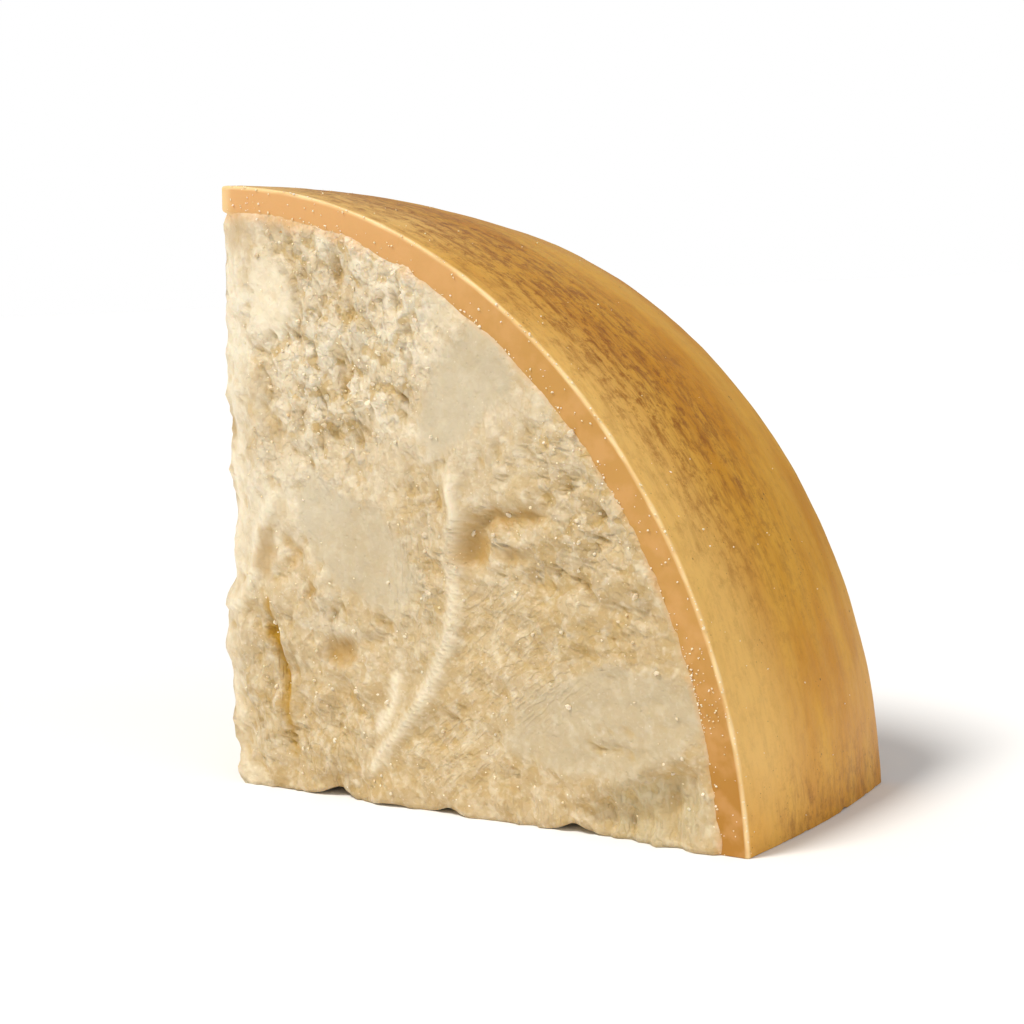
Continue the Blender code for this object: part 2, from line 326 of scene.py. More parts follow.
@dataclass(frozen=True)
class FrontRelief:
    """Relief of the broken front face: where it crumbled, parted, tore and folded."""

    wheel: Wheel
    ground_crumble: float = 0.24
    crumbles: tuple[Patch, ...] = (
        Patch((64.0, 168.0), (46.0, 46.0), -20.0, 1.15),
        Patch((44.0, 124.0), (32.0, 16.0), -6.0, 0.6),
        Patch((166.0, 112.0), (34.0, 18.0), -54.0, 0.8),
        Patch((152.0, 84.0), (42.0, 20.0), -26.0, 0.5),
        Patch((44.0, 58.0), (26.0, 26.0), 0.0, 0.45),
        Patch((10.0, 40.0), (18.0, 44.0), 0.0, 0.4),
        Patch((58.0, 20.0), (38.0, 22.0), 0.0, 0.35),
        Patch((96.0, 96.0), (12.0, 34.0), 0.0, 0.6),
    )
    slabs: tuple[Patch, ...] = (
        Patch((33.0, 180.0), (10.0, 17.0), 14.0, 0.3),
        Patch((120.0, 147.0), (29.0, 15.0), 44.0, -0.2),
        Patch((65.0, 91.0), (37.0, 18.0), -38.0, -1.0),
        Patch((170.0, 38.0), (46.0, 20.0), 14.0, 0.4),
    )
    hollows: tuple[Patch, ...] = (
        Patch((117.0, 95.0), (8.5, 12.0), -22.0, 3.4),
        Patch((136.0, 104.5), (20.0, 3.8), 2.0, 1.8),
        Patch((123.0, 103.0), (8.0, 4.2), 32.0, 1.8),
        Patch((137.0, 91.5), (9.0, 2.6), -4.0, 1.2),
        Patch((152.0, 87.0), (2.6, 2.0), 0.0, 1.8),
        Patch((176.0, 75.5), (2.6, 2.0), 0.0, 1.6),
        Patch((158.0, 114.0), (4.0, 2.4), 0.0, 1.8),
        Patch((146.0, 112.5), (5.0, 2.0), 0.0, 1.6),
        Patch((171.0, 107.0), (2.6, 3.0), 0.0, 1.6),
        Patch((55.0, 54.0), (9.0, 7.0), 0.0, 2.6),
        Patch((44.0, 75.0), (6.0, 2.4), 22.0, 1.6),
        Patch((49.0, 84.0), (3.6, 2.6), 20.0, 1.5),
        Patch((33.0, 90.0), (4.0, 5.0), 20.0, 1.2),
        Patch((23.5, 90.0), (4.5, 13.0), -16.0, 0.7),
        Patch((20.5, 58.5), (4.2, 4.6), 0.0, 4.0),
        Patch((45.0, 171.0), (4.0, 8.0), 0.0, 1.4),
        Patch((60.0, 188.0), (9.0, 4.0), -20.0, 1.5),
        Patch((28.0, 146.0), (6.0, 8.0), 0.0, 1.2),
        Patch((193.0, 14.0), (8.0, 12.0), -10.0, 2.6),
        Patch((176.0, 7.0), (26.0, 9.0), 18.0, 1.3),
    )
    ridges: tuple[Ridge, ...] = (
        Ridge(((113.0, 124.0), (111.5, 112.0), (110.0, 96.0), (108.5, 80.0), (105.0, 60.0), (97.0, 45.5),
               (87.0, 34.0), (73.0, 20.0), (62.0, 6.0)), 3.0, 3.0, 2.4, 0.0),
        Ridge(((82.0, 51.0), (80.0, 42.0), (76.0, 33.0), (68.0, 24.0)), 1.1, 2.2, 2.2, 0.4),
        Ridge(((31.0, 112.0), (24.0, 103.0), (18.5, 92.0), (15.5, 82.0), (10.0, 73.0), (4.0, 68.0),
               (-5.0, 66.0)), 2.6, 3.0, 2.4, 0.0),
        Ridge(((14.0, 56.0), (15.0, 38.0), (16.0, 14.0)), 0.9, 1.8, 1.8, 1.0),
        Ridge(((19.0, 54.0), (20.0, 42.0), (20.5, 28.0)), 0.9, 1.6, 1.6, 0.4),
        Ridge(((50.0, 67.0), (42.0, 64.5), (32.0, 63.0)), 1.3, 1.8, 5.0, 0.3),
        Ridge(((52.0, 81.0), (45.0, 78.0), (38.0, 73.0)), 1.2, 1.8, 4.5, 0.3),
        Ridge(((67.0, 62.0), (55.0, 76.0), (50.0, 86.0), (38.0, 92.0), (31.0, 103.0)), 1.1, 1.8, 5.0, 1.2),
        Ridge(((152.0, 109.0), (133.0, 111.0), (122.0, 106.5), (115.5, 98.0)), 0.9, 5.0, 1.8),
        Ridge(((166.0, 100.0), (150.0, 99.0), (135.0, 96.5), (121.0, 94.0)), 0.8, 4.5, 2.6, 1.2),
        Ridge(((26.0, 160.0), (24.5, 140.0), (24.0, 125.0), (26.0, 106.0)), 2.0, 7.0, 1.7, 0.5),
        Ridge(((93.0, 142.0), (70.0, 141.0), (46.0, 142.0), (24.0, 139.0)), 0.9, 5.0, 1.7, 1.2),
        Ridge(((206.0, 31.0), (196.0, 26.5), (180.0, 21.0), (166.0, 15.5), (146.0, 8.0)), 1.5, 9.0, 1.5, 0.3),
        Ridge(((112.0, 128.0), (110.5, 112.0), (108.0, 98.0), (106.5, 84.0)), 1.5, 5.0, 4.0, 0.4),
    )
    cracks: tuple[Crack, ...] = (
        Crack(((22.0, 54.0), (23.5, 45.0), (24.5, 35.0), (25.5, 26.0), (27.0, 14.0)), 1.4, 3.4),
        Crack(((20.0, 69.0), (20.5, 62.0)), 1.4, 1.6),
        Crack(((120.0, 57.0), (105.0, 58.5)), 1.2, 1.2),
        Crack(((160.0, 84.5), (165.0, 80.0), (169.0, 76.0)), 1.5, 2.2),
        Crack(((200.0, 23.0), (198.0, 5.0)), 1.7, 1.8),
        Crack(((192.0, 21.0), (190.0, 3.0)), 2.4, 2.6),
        Crack(((184.0, 18.0), (183.0, 2.0)), 1.6, 1.8),
        Crack(((175.0, 14.0), (174.5, 2.0)), 1.5, 1.5),
        Crack(((166.0, 11.0), (165.0, 2.0)), 1.4, 1.3),
        Crack(((49.0, 26.0), (47.0, 6.0)), 1.8, 1.4),
        Crack(((57.0, 20.0), (55.0, 4.0)), 1.6, 1.2),
        Crack(((13.0, 54.0), (12.0, 30.0)), 1.7, 1.3),
    )
    fibres: tuple[Patch, ...] = (
        Patch((92.0, 74.0), (13.0, 38.0), 86.0, 1.5),
        Patch((132.0, 54.0), (34.0, 24.0), -58.0, 1.1),
        Patch((126.0, 74.0), (22.0, 10.0), 2.0, 0.9),
        Patch((183.0, 9.0), (30.0, 16.0), 86.0, 2.6),
        Patch((138.0, 5.0), (24.0, 9.0), 88.0, 1.5),
        Patch((52.0, 18.0), (30.0, 26.0), 92.0, 1.2),
        Patch((14.0, 36.0), (16.0, 36.0), 88.0, 1.1),
        Patch((104.0, 24.0), (28.0, 20.0), 24.0, 1.0),
    )
    # Patches where the hollows get painted amber shade and glow.
    shaded_glows: tuple[Patch, ...] = (
        Patch((21.5, 88.0), (5.0, 14.0), -14.0, 0.75),
        Patch((116.0, 93.0), (8.5, 11.0), -20.0, 1.0),
        Patch((136.0, 104.5), (19.0, 3.6), 2.0, 1.0),
        Patch((134.0, 91.0), (9.0, 3.0), -4.0, 0.6),
        Patch((54.5, 53.5), (9.5, 7.5), 0.0, 1.0),
        Patch((44.0, 75.0), (6.0, 2.6), 22.0, 0.8),
        Patch((6.0, 76.0), (7.0, 3.0), 0.0, 0.35),
        Patch((15.0, 203.0), (12.0, 8.0), 0.0, 0.6),
        Patch((123.0, 102.0), (8.0, 4.0), 32.0, 0.8),
        Patch((190.0, 12.0), (6.0, 9.0), 0.0, 0.35),
        Patch((116.0, 77.0), (4.0, 3.0), 0.0, 0.4),
    )
    pitted: tuple[Patch, ...] = (
        Patch((172.0, 32.0), (13.0, 8.0), 10.0, 1.0),
        Patch((128.0, 16.0), (9.0, 6.0), 0.0, 0.9),
        Patch((104.0, 34.0), (9.0, 7.0), 0.0, 0.5),
        Patch((167.0, 62.0), (18.0, 10.0), -40.0, 0.6),
    )
    flaky: Patch = Patch((36.0, 44.0), (50.0, 56.0), 0.0, 0.7)
    blocks: Patch = Patch((160.0, 111.0), (25.0, 15.0), -36.0, 0.7)
    # The flutes under the overhanging slab get an olive painted shade here.
    olive_shade: Patch = Patch((184.0, 10.0), (27.0, 14.0), 14.0, 1.0)
    tanned: Patch = Patch((86.0, 12.0), (48.0, 30.0), 0.0, 70.0)
    paste_level: float = 0.2
    proud_by_rind: float = 0.8
    left_margin: float = 15.0
    left_margin_drop: float = 6.5
    left_swelling_heights: tuple[float, ...] = (
        0.0, 12.0, 28.0, 50.0, 70.0, 79.0, 88.0, 110.0, 150.0, 190.0, 204.0, 212.0, 225.0)
    left_swellings: tuple[float, ...] = (
        0.5, 2.0, 8.0, 12.6, 10.6, 6.6, 5.6, 6.4, 7.6, 8.6, 7.6, 6.2, 5.0)

    def left_swelling(self, z: Array) -> Array:
        """How far the broken left face stands out past its radius near the front."""
        return np.interp(z, self.left_swelling_heights, self.left_swellings)

    def left_edge(self, z: Array) -> Array:
        """Where the front face's left margin starts, along X."""
        return z * math.tan(math.pi / 2.0 - self.wheel.wedge) - self.left_swelling(z)

    def margin_share(self, x: Array, z: Array) -> Array:
        """1 on the left edge of the front face, falling to 0 at the end of its left margin."""
        return np.clip(1.0 - (x - self.left_edge(z)) / self.left_margin, 0.0, 1.0)

    def crumble_strength(self, x: Array, z: Array) -> Array:
        """How strongly the broken front face crumbles at each place."""
        strength = np.full(len(x), self.ground_crumble)
        for patch in self.crumbles:
            inside = 1.0 - smooth_step(0.6, 1.1, patch.reach(x, z))
            strength = strength + (patch.amount - self.ground_crumble) * inside
        return np.maximum(strength, self.ground_crumble)

    def fibre_relief(self, x: Array, z: Array) -> Array:
        """Height of the ground that broke into fibres."""
        total = np.zeros(len(x))
        for index, patch in enumerate(self.fibres):
            turn = math.radians(patch.turn_deg)
            along = x * math.cos(turn) + z * math.sin(turn)
            across = z * math.cos(turn) - x * math.sin(turn)
            drawn = np.stack([along / 5.0, across, np.zeros_like(x)], axis=1)
            short = np.stack([along / 4.0, across, np.zeros_like(x)], axis=1)
            unturned = Patch(patch.centre, patch.half_sizes, 0.0, patch.amount)
            inside = 1.0 - smooth_step(0.5, 1.0, unturned.reach(x, z))
            coarse = rough_noise(drawn, 6.0, 401 + index * 7, octaves=2)
            fine = folded_noise(drawn, 3.6, 431 + index * 7, 1) * 0.4
            strokes = nuggets(short, 3.8, 461 + index * 7, 8.0, 0.25, 0.8) * 0.7
            torn = flaked(drawn, 7.0, 2.0, 491 + index * 7) * 0.5
            total += patch.amount * inside * (coarse * 0.9 + fine * 0.5 + strokes * 0.45 + torn)
        return total

    def drawn_share(self, x: Array, z: Array, slanting: bool) -> Array:
        """How far the ground broke into fibres, either the upright ones or the slanting ones."""
        share = np.zeros(len(x))
        for patch in self.fibres:
            if (abs(patch.turn_deg - 90.0) > 10.0) == slanting:
                unturned = Patch(patch.centre, patch.half_sizes, 0.0, patch.amount)
                share = np.maximum(share, 1.0 - smooth_step(0.5, 1.15, unturned.reach(x, z)))
        return share

    def pits(self, points: Array) -> Array:
        """Depth of the small pits that crumbs left in the smooth ground."""
        hole = smooth_step(0.1, 0.4, smooth_noise(points, 4.0, 181)) * 1.2
        total = np.zeros(len(points))
        for patch in self.pitted:
            total += patch.amount * (1.0 - smooth_step(0.6, 1.1, patch.reach(points[:, 0], points[:, 2])))
        return total * hole

    def swerved(self, x: Array, z: Array) -> Array:
        """Places along X, shifted gently so that folds and cracks wander off their lines."""
        return x + smooth_noise(np.stack([x, np.zeros_like(x), z], axis=1), 11.0, 23) * 1.3

    def crest_share(self, x: Array, z: Array, widening: float = 1.0) -> Array:
        """1 along the crests of the narrow folds, 0 off them; widening multiplies their width."""
        share = np.zeros(len(x))
        for ridge in self.ridges:
            if ridge.height < 1.0 or max(ridge.left_flank, ridge.right_flank) > 4.0:
                continue
            away, _, along = line_distance(self.swerved(x, z), z, ridge.line)
            whole = smooth_step(0.0, 0.12, along) * (1.0 - smooth_step(0.88, 1.0, along))
            narrow = min(ridge.left_flank, ridge.right_flank)
            share = np.maximum(share, whole * np.exp(-((away / (narrow * widening)) ** 2)))
        return share

    def shaded_glow_share(self, x: Array, z: Array) -> Array:
        """Where sheltered hollows get painted amber shade and glow, from 0 to 1."""
        points = np.stack([x, np.zeros_like(x), z], axis=1)
        near = warp(points, 8.0, 3.6, 21) + warp(points, 3.6, 1.2, 31, 1)
        share = np.zeros(len(x))
        for patch in self.shaded_glows:
            inside = 1.0 - smooth_step(0.4, 1.05, patch.reach(x + near[:, 0], z + near[:, 2]))
            share = np.maximum(share, patch.amount * inside)
        return share

    def slot_glow_share(self, x: Array, z: Array) -> Array:
        """1 in the deep slot at the lower left, where painted amber shade and glow stand in for light through
        the paste, 0 outside it.
        """
        share = 1.0 - smooth_step(0.5, 1.0, np.hypot((x - 20.0) / 4.4, (z - 58.5) / 4.6))
        for crack in self.cracks[:2]:
            away, _, along = line_distance(x * 0.6 + self.swerved(x, z) * 0.4, z, crack.line)
            mouth = crack.half_width * (1.45 - 0.45 * along)
            share = np.maximum(share, np.exp(-((away / mouth) ** 4)) * (1.0 - 0.4 * along))
        return share

    def slab_share(self, x: Array, z: Array) -> Array:
        """1 on the smooth slabs, 0 on the crumbly ground."""
        points = np.stack([x, np.zeros_like(x), z], axis=1)
        bent = points + warp(points, 30.0, 6.0, 11) + warp(points, 8.0, 2.4, 21)
        bent = bent + warp(points, 3.6, 0.8, 31, 1)
        share = np.zeros(len(x))
        for patch in self.slabs:
            share = np.maximum(share, 1.0 - smooth_step(0.76, 1.0, patch.reach(bent[:, 0], bent[:, 2])))
        return share

    def crumb(self, x: Array, z: Array) -> Array:
        """Height of the crumb: knobs of 6.6 and 4 mm in uneven drifts."""
        points = np.stack([x, np.zeros_like(x), z], axis=1)
        bent = (points + warp(points, 8.0, 2.4, 21)) * np.array([1.25, 1.0, 1.0])
        drifts = smooth_step(-0.5, 0.3, rough_noise(points, 15.0, 151))
        strength = self.crumble_strength(x, z) / 1.5 * (0.5 + 0.5 * drifts)
        strength = strength * (1.0 - 0.8 * self.margin_share(x, z) ** 0.5 * smooth_step(60.0, 90.0, z))
        large = nuggets(bent, 6.6, 141, 11.0, 0.3, 1.4) * 2.0
        medium = nuggets(bent, 4.0, 111, 9.0, 0.3, 1.4) * 1.3
        return large * strength + medium * (0.12 + 0.88 * strength)

    def level(self, x: Array, z: Array, to_rind: Array) -> Array:
        """Works out the level of the broken front face.

        Args:
            x: Places along the base.
            z: Heights.
            to_rind: Distances to the rind's smooth section.

        Returns:
            Levels against the front plane, positive towards the viewer.
        """
        points = np.stack([x, np.zeros_like(x), z], axis=1)
        wide = warp(points, 30.0, 6.0, 11)
        near = warp(points, 8.0, 2.4, 21)
        torn = warp(points, 3.6, 1.1, 31, 1)
        strength = self.crumble_strength(x, z)
        swerved = self.swerved(x, z)
        calm = np.maximum(self.crest_share(x, z, 2.5), self.shaded_glow_share(x, z))
        flaky = 1.0 + self.flaky.amount * (1.0 - smooth_step(0.6, 1.1, self.flaky.reach(x, z)))

        # Swells and torn flakes everywhere, then lumps, crumb and fibres where it broke so.
        swell = rough_noise(points, 60.0, 5) * 1.7
        ground = folded_noise(points + near, 15.0, 91) * 0.3 + rough_noise(points + near, 7.0, 95, 2) * 0.3
        ground = ground * flaky
        broad = flaked(points + near + torn * 0.5, 20.0, 3.0, 171, 0.5) * 2.1 * flaky
        narrowed = np.array([1.35, 1.0, 1.0])
        thin = flaked((points + near * 0.7) * narrowed, 9.0, 2.0, 191) * 1.1
        grain = smooth_noise(points, 2.6, 131) * 0.08
        lumps = nuggets(points + near, 9.0, 51, 14.0) * 0.9
        crumb = self.crumb(x, z)
        in_blocks = 1.0 - smooth_step(0.6, 1.05, self.blocks.reach(x, z))
        blocks = nuggets((points + torn) * narrowed, 6.2, 201, 12.0, 0.5, 0.5)
        blocks = blocks * self.blocks.amount * in_blocks
        detail = ground + broad + lumps * strength + crumb + thin + blocks + self.fibre_relief(swerved, z)
        level = self.paste_level + swell + (grain + detail) * (1.0 - 0.88 * calm)
        edged_x = x + wide[:, 0] + near[:, 0] + torn[:, 0] * 1.3
        edged_z = z + wide[:, 2] + near[:, 2] + torn[:, 2] * 1.3
        for slab in self.slabs:
            reach = slab.reach(edged_x, edged_z)
            inside = 1.0 - smooth_step(0.86, 1.0, reach)
            traces = ground + grain + crumb * 0.3 + (broad + thin) * 0.5
            smooth = slab.amount + 0.9 + swell * 0.6 + traces * (1.0 - 0.88 * calm)
            level = level * (1.0 - inside) + smooth * inside
        bent_x = swerved + near[:, 0] * 0.6
        bent_z = z + near[:, 2] * 0.8
        for hollow in self.hollows:
            level = level - hollow.amount * (1.0 - smooth_step(0.3, 1.15, hollow.reach(bent_x, bent_z)))
        level = level - self.pits(points)
        uneven = 1.0 + 0.35 * smooth_noise(points, 13.0, 211)
        for ridge in self.ridges:
            away, side, share = line_distance(swerved + torn[:, 0] * ridge.ragged, z, ridge.line)
            away = np.sqrt(away * away + 1.1) - 0.4
            # The lines run downwards, so their viewer's right is the positive side.
            flank = np.where(side > 0, ridge.right_flank, ridge.left_flank) * (1.0 - 0.15 * share)
            whole = smooth_step(0.0, 0.12, share) * (1.0 - smooth_step(0.88, 1.0, share))
            level = level + ridge.height * whole * uneven * np.exp(-((away / flank) ** 1.5))
        for crack in self.cracks:
            away, _, share = line_distance(x * 0.6 + swerved * 0.4 + torn[:, 0] * 0.25, z, crack.line)
            mouth = crack.half_width * 1.15
            level = level - crack.depth * (1.0 - 0.65 * share) * np.exp(-((away / mouth) ** 2.5))
        level = level - self.left_margin_drop * self.margin_share(x, z)**1.3 * smooth_step(8.0, 40.0, z)
        by_rind = 1.0 - smooth_step(1.0, 9.0, to_rind)
        least = self.proud_by_rind + 0.35 * crumb
        off_margin = smooth_step(2.0, 12.0, x - self.left_edge(z))
        return level + by_rind * np.maximum(least - level, 0.0) * off_margin


# ---------------------------------------------------------------------------------------------
# Mesh help
# ---------------------------------------------------------------------------------------------


def deselect_all() -> None:
    """Leaves edit mode and deselects every object, so that an operator acts on new ones alone."""
    if bpy.context.object is not None and bpy.context.object.mode != "OBJECT":
        bpy.ops.object.mode_set(mode="OBJECT")
    bpy.ops.object.select_all(action="DESELECT")


def gridded_cube(name: str, cuts: tuple[int, int, int]) -> bpy.types.Object:
    """Adds a cube that fills 0 to 1 on each axis and cuts its faces into a grid.

    Args:
        name: The object's name.
        cuts: How many faces lie along X, Y and Z, each at most 101, as a subdivide makes up to 100 cuts.

    Returns:
        The new object, in object mode.
    """
    deselect_all()
    bpy.ops.mesh.primitive_cube_add(size=1.0, location=(0.5, 0.5, 0.5))
    cube = bpy.context.object
    cube.name = name
    bpy.ops.object.transform_apply(location=True, rotation=True, scale=True)
    for axis, count in enumerate(cuts):
        bpy.ops.object.mode_set(mode="OBJECT")
        ends = edge_ends(cube.data)
        choose(cube, "EDGE", np.abs(ends[:, 0, axis] - ends[:, 1, axis]) > 0.5)
        bpy.ops.mesh.subdivide(number_cuts=count - 1)
    bpy.ops.object.mode_set(mode="OBJECT")
    return cube


def vertex_places(mesh: bpy.types.Mesh) -> Array:
    """The mesh's vertex places, one row each."""
    places = np.empty(len(mesh.vertices) * 3, dtype=np.float32)
    mesh.vertices.foreach_get("co", places)
    return places.reshape(-1, 3).astype(float)


def edge_ends(mesh: bpy.types.Mesh) -> Array:
    """The places of each edge's two ends."""
    pairs = np.empty(len(mesh.edges) * 2, dtype=np.int32)
    mesh.edges.foreach_get("vertices", pairs)
    return vertex_places(mesh)[pairs.reshape(-1, 2)]


def face_centres(mesh: bpy.types.Mesh) -> Array:
    """The places of the faces' centres."""
    centres = np.empty(len(mesh.polygons) * 3, dtype=np.float32)
    mesh.polygons.foreach_get("center", centres)
    return centres.reshape(-1, 3).astype(float)


def set_vertex_places(mesh: bpy.types.Mesh, places: Array) -> None:
    """Moves every vertex to its row in places, in metres."""
    mesh.vertices.foreach_set("co", places.astype(np.float32).ravel())
    mesh.update()


def set_vertex_value(mesh: bpy.types.Mesh, name: str, values: Array) -> None:
    """Stores one number at each vertex, for the materials to read."""
    attribute = mesh.attributes.new(name, "FLOAT", "POINT")
    attribute.data.foreach_set("value", values.astype(np.float32))


def choose(piece: bpy.types.Object, kind: str, chosen: Array) -> None:
    """Enters edit mode with only the chosen parts of a piece selected.

    Args:
        piece: The object to work on.
        kind: "VERT", "EDGE" or "FACE".
        chosen: One true or false for each of them.
    """
    deselect_all()
    bpy.context.view_layer.objects.active = piece
    piece.select_set(True)
    bpy.ops.object.mode_set(mode="EDIT")
    bpy.ops.mesh.select_mode(type=kind)
    bpy.ops.mesh.select_all(action="DESELECT")
    bpy.ops.object.mode_set(mode="OBJECT")
    parts = {"VERT": piece.data.vertices, "EDGE": piece.data.edges, "FACE": piece.data.polygons}
    parts[kind].foreach_set("select", chosen)
    bpy.ops.object.mode_set(mode="EDIT")


def graded(values: Array, given: tuple[float, ...], wanted: tuple[float, ...]) -> Array:
    """Spaces evenly cut values unevenly, by matching given shares to wanted ones."""
    return np.interp(values, given, wanted)


@dataclass(frozen=True)
class SmoothedRelief:
    """The front face's relief with its finer lumps taken out, read from a 1 mm grid."""

    heights: Array
    start: Pair

    @classmethod
    def of(cls, heights: Array, start: Pair, blur: float) -> SmoothedRelief:
        """Blurs a grid of heights whose rows run along Z and whose columns run along X."""
        reach = int(blur * 3.0)
        weights = np.exp(-0.5 * (np.arange(-reach, reach + 1) / blur) ** 2)
        weights = weights / weights.sum()
        for axis in range(2):
            ends = [(reach, reach) if axis == other else (0, 0) for other in range(2)]
            padded = np.pad(heights, ends, mode="edge")
            heights = np.apply_along_axis(lambda row: np.convolve(row, weights, "valid"), axis, padded)
        return cls(heights, start)

    def at(self, x: Array, z: Array) -> Array:
        """Heights at the given places."""
        across = np.clip(x - self.start[0], 0.0, self.heights.shape[1] - 1.001)
        upward = np.clip(z - self.start[1], 0.0, self.heights.shape[0] - 1.001)
        column, row = across.astype(int), upward.astype(int)
        right, above = across - column, upward - row
        low = self.heights[row, column] * (1 - right) + self.heights[row, column + 1] * right
        high = self.heights[row + 1, column] * (1 - right) + self.heights[row + 1, column + 1] * right
        return low * (1 - above) + high * above


# ---------------------------------------------------------------------------------------------
# Finishes
# ---------------------------------------------------------------------------------------------


def colour(code: str) -> tuple[float, float, float, float]:
    """Turns an sRGB colour such as "#D9C6A0" into linear red, green, blue and alpha."""
    parts = [int(code[place:place + 2], 16) / 255.0 for place in (1, 3, 5)]
    linear = [part / 12.92 if part <= 0.04045 else ((part + 0.055) / 1.055)**2.4 for part in parts]
    return linear[0], linear[1], linear[2], 1.0


def add_node(
    tree: bpy.types.NodeTree,
    kind: str,
    settings: dict[str, object] | None = None,
    inputs: dict[str | int, object] | None = None,
) -> bpy.types.Node:
    """Adds a node with its settings, its fixed inputs and its links.

    Args:
        tree: The material's node tree.
        kind: The node's type.
        settings: Its properties.
        inputs: Its inputs by name or number, each a value or another node's output.

    Returns:
        The new node.
    """
    node = tree.nodes.new(kind)
    for name, value in (settings or {}).items():
        setattr(node, name, value)
    for key, value in (inputs or {}).items():
        if isinstance(value, bpy.types.NodeSocket):
            tree.links.new(value, node.inputs[key])
        else:
            node.inputs[key].default_value = value
    return node


class MixSocket(int, Enum):
    """Sockets of a colour Mix node."""

    FACTOR = 0
    FIRST = 6
    SECOND = 7
    RESULT = 2


def mixed(
    tree: bpy.types.NodeTree,
    factor: bpy.types.NodeSocket,
    first: object,
    second: object,
    most: float = 1.0,
) -> bpy.types.NodeSocket:
    """Blends two colours by a factor.

    Args:
        tree: The material's node tree.
        factor: How much of the second colour shows, from 0 to 1.
        first: A colour or a colour output.
        second: A colour or a colour output.
        most: What the factor is multiplied by.

    Returns:
        The blended colour's output.
    """
    if most != 1.0:
        factor = product(tree, factor, most)
    blend = add_node(tree, "ShaderNodeMix", {"data_type": "RGBA"},
                     {MixSocket.FACTOR.value: factor, MixSocket.FIRST.value: first,
                      MixSocket.SECOND.value: second})
    return blend.outputs[MixSocket.RESULT.value]


def product(tree: bpy.types.NodeTree, first: object, second: object) -> bpy.types.NodeSocket:
    """Multiplies two numbers or outputs."""
    return add_node(tree, "ShaderNodeMath", {"operation": "MULTIPLY"}, {0: first, 1: second}).outputs["Value"]


def ramped(
    tree: bpy.types.NodeTree,
    value: bpy.types.NodeSocket,
    low: float,
    high: float,
    most: float = 1.0,
) -> bpy.types.NodeSocket:
    """Eases a value from 0 at low to most at high."""
    node = add_node(tree, "ShaderNodeMapRange", {"interpolation_type": "SMOOTHSTEP"},
                    {"Value": value, "From Min": low, "From Max": high, "To Max": most})
    return node.outputs["Result"]


def noise(
    tree: bpy.types.NodeTree,
    places: bpy.types.NodeSocket,
    size: float,
    detail: float = 2.0,
    roughness: float = 0.5,
) -> bpy.types.NodeSocket:
    """Noise whose lumps are size millimetres across, from 0 to 1."""
    node = add_node(tree, "ShaderNodeTexNoise", {},
                    {"Vector": places, "Scale": 1.0 / size, "Detail": detail, "Roughness": roughness})
    return node.outputs["Fac"]


def added(tree: bpy.types.NodeTree, first: object, second: object) -> bpy.types.NodeSocket:
    """Adds a node that adds two numbers."""
    return add_node(tree, "ShaderNodeMath", {"operation": "ADD"}, {0: first, 1: second}).outputs["Value"]


def dots(
    tree: bpy.types.NodeTree,
    places: bpy.types.NodeSocket,
    spacing: float,
    radius: float,
) -> bpy.types.NodeSocket:
    """Small round spots, spacing millimetres apart on average, 1 inside a spot and 0 outside."""
    node = add_node(tree, "ShaderNodeTexVoronoi", {}, {"Vector": places, "Scale": 1.0 / spacing})
    return ramped(tree, node.outputs["Distance"], radius / spacing, 0.5 * radius / spacing)


def stored(tree: bpy.types.NodeTree, name: str) -> bpy.types.NodeSocket:
    """Reads a number that the mesh stores at its vertices."""
    return add_node(tree, "ShaderNodeAttribute", {"attribute_name": name}).outputs["Fac"]


def millimetres(tree: bpy.types.NodeTree) -> bpy.types.NodeSocket:
    """The place on the piece, in millimetres."""
    place = add_node(tree, "ShaderNodeTexCoord").outputs["Object"]
    scaled = add_node(tree, "ShaderNodeVectorMath", {"operation": "SCALE"}, {0: place, "Scale": 1.0 / MM})
    return scaled.outputs["Vector"]


def new_material(name: str) -> tuple[bpy.types.Material, bpy.types.NodeTree, bpy.types.Node]:
    """Starts a material and gives it, its tree and its shader."""
    material = bpy.data.materials.new(name)
    material.use_nodes = True
    return material, material.node_tree, material.node_tree.nodes["Principled BSDF"]


def dent(
    tree: bpy.types.NodeTree,
    height: bpy.types.NodeSocket,
    reach: float,
    strength: float,
) -> bpy.types.NodeSocket:
    """Turns a height of 0 to 1 into a shading normal, for relief of reach millimetres."""
    node = add_node(tree, "ShaderNodeBump", {},
                    {"Strength": strength, "Distance": reach * MM, "Height": height})
    return node.outputs["Normal"]


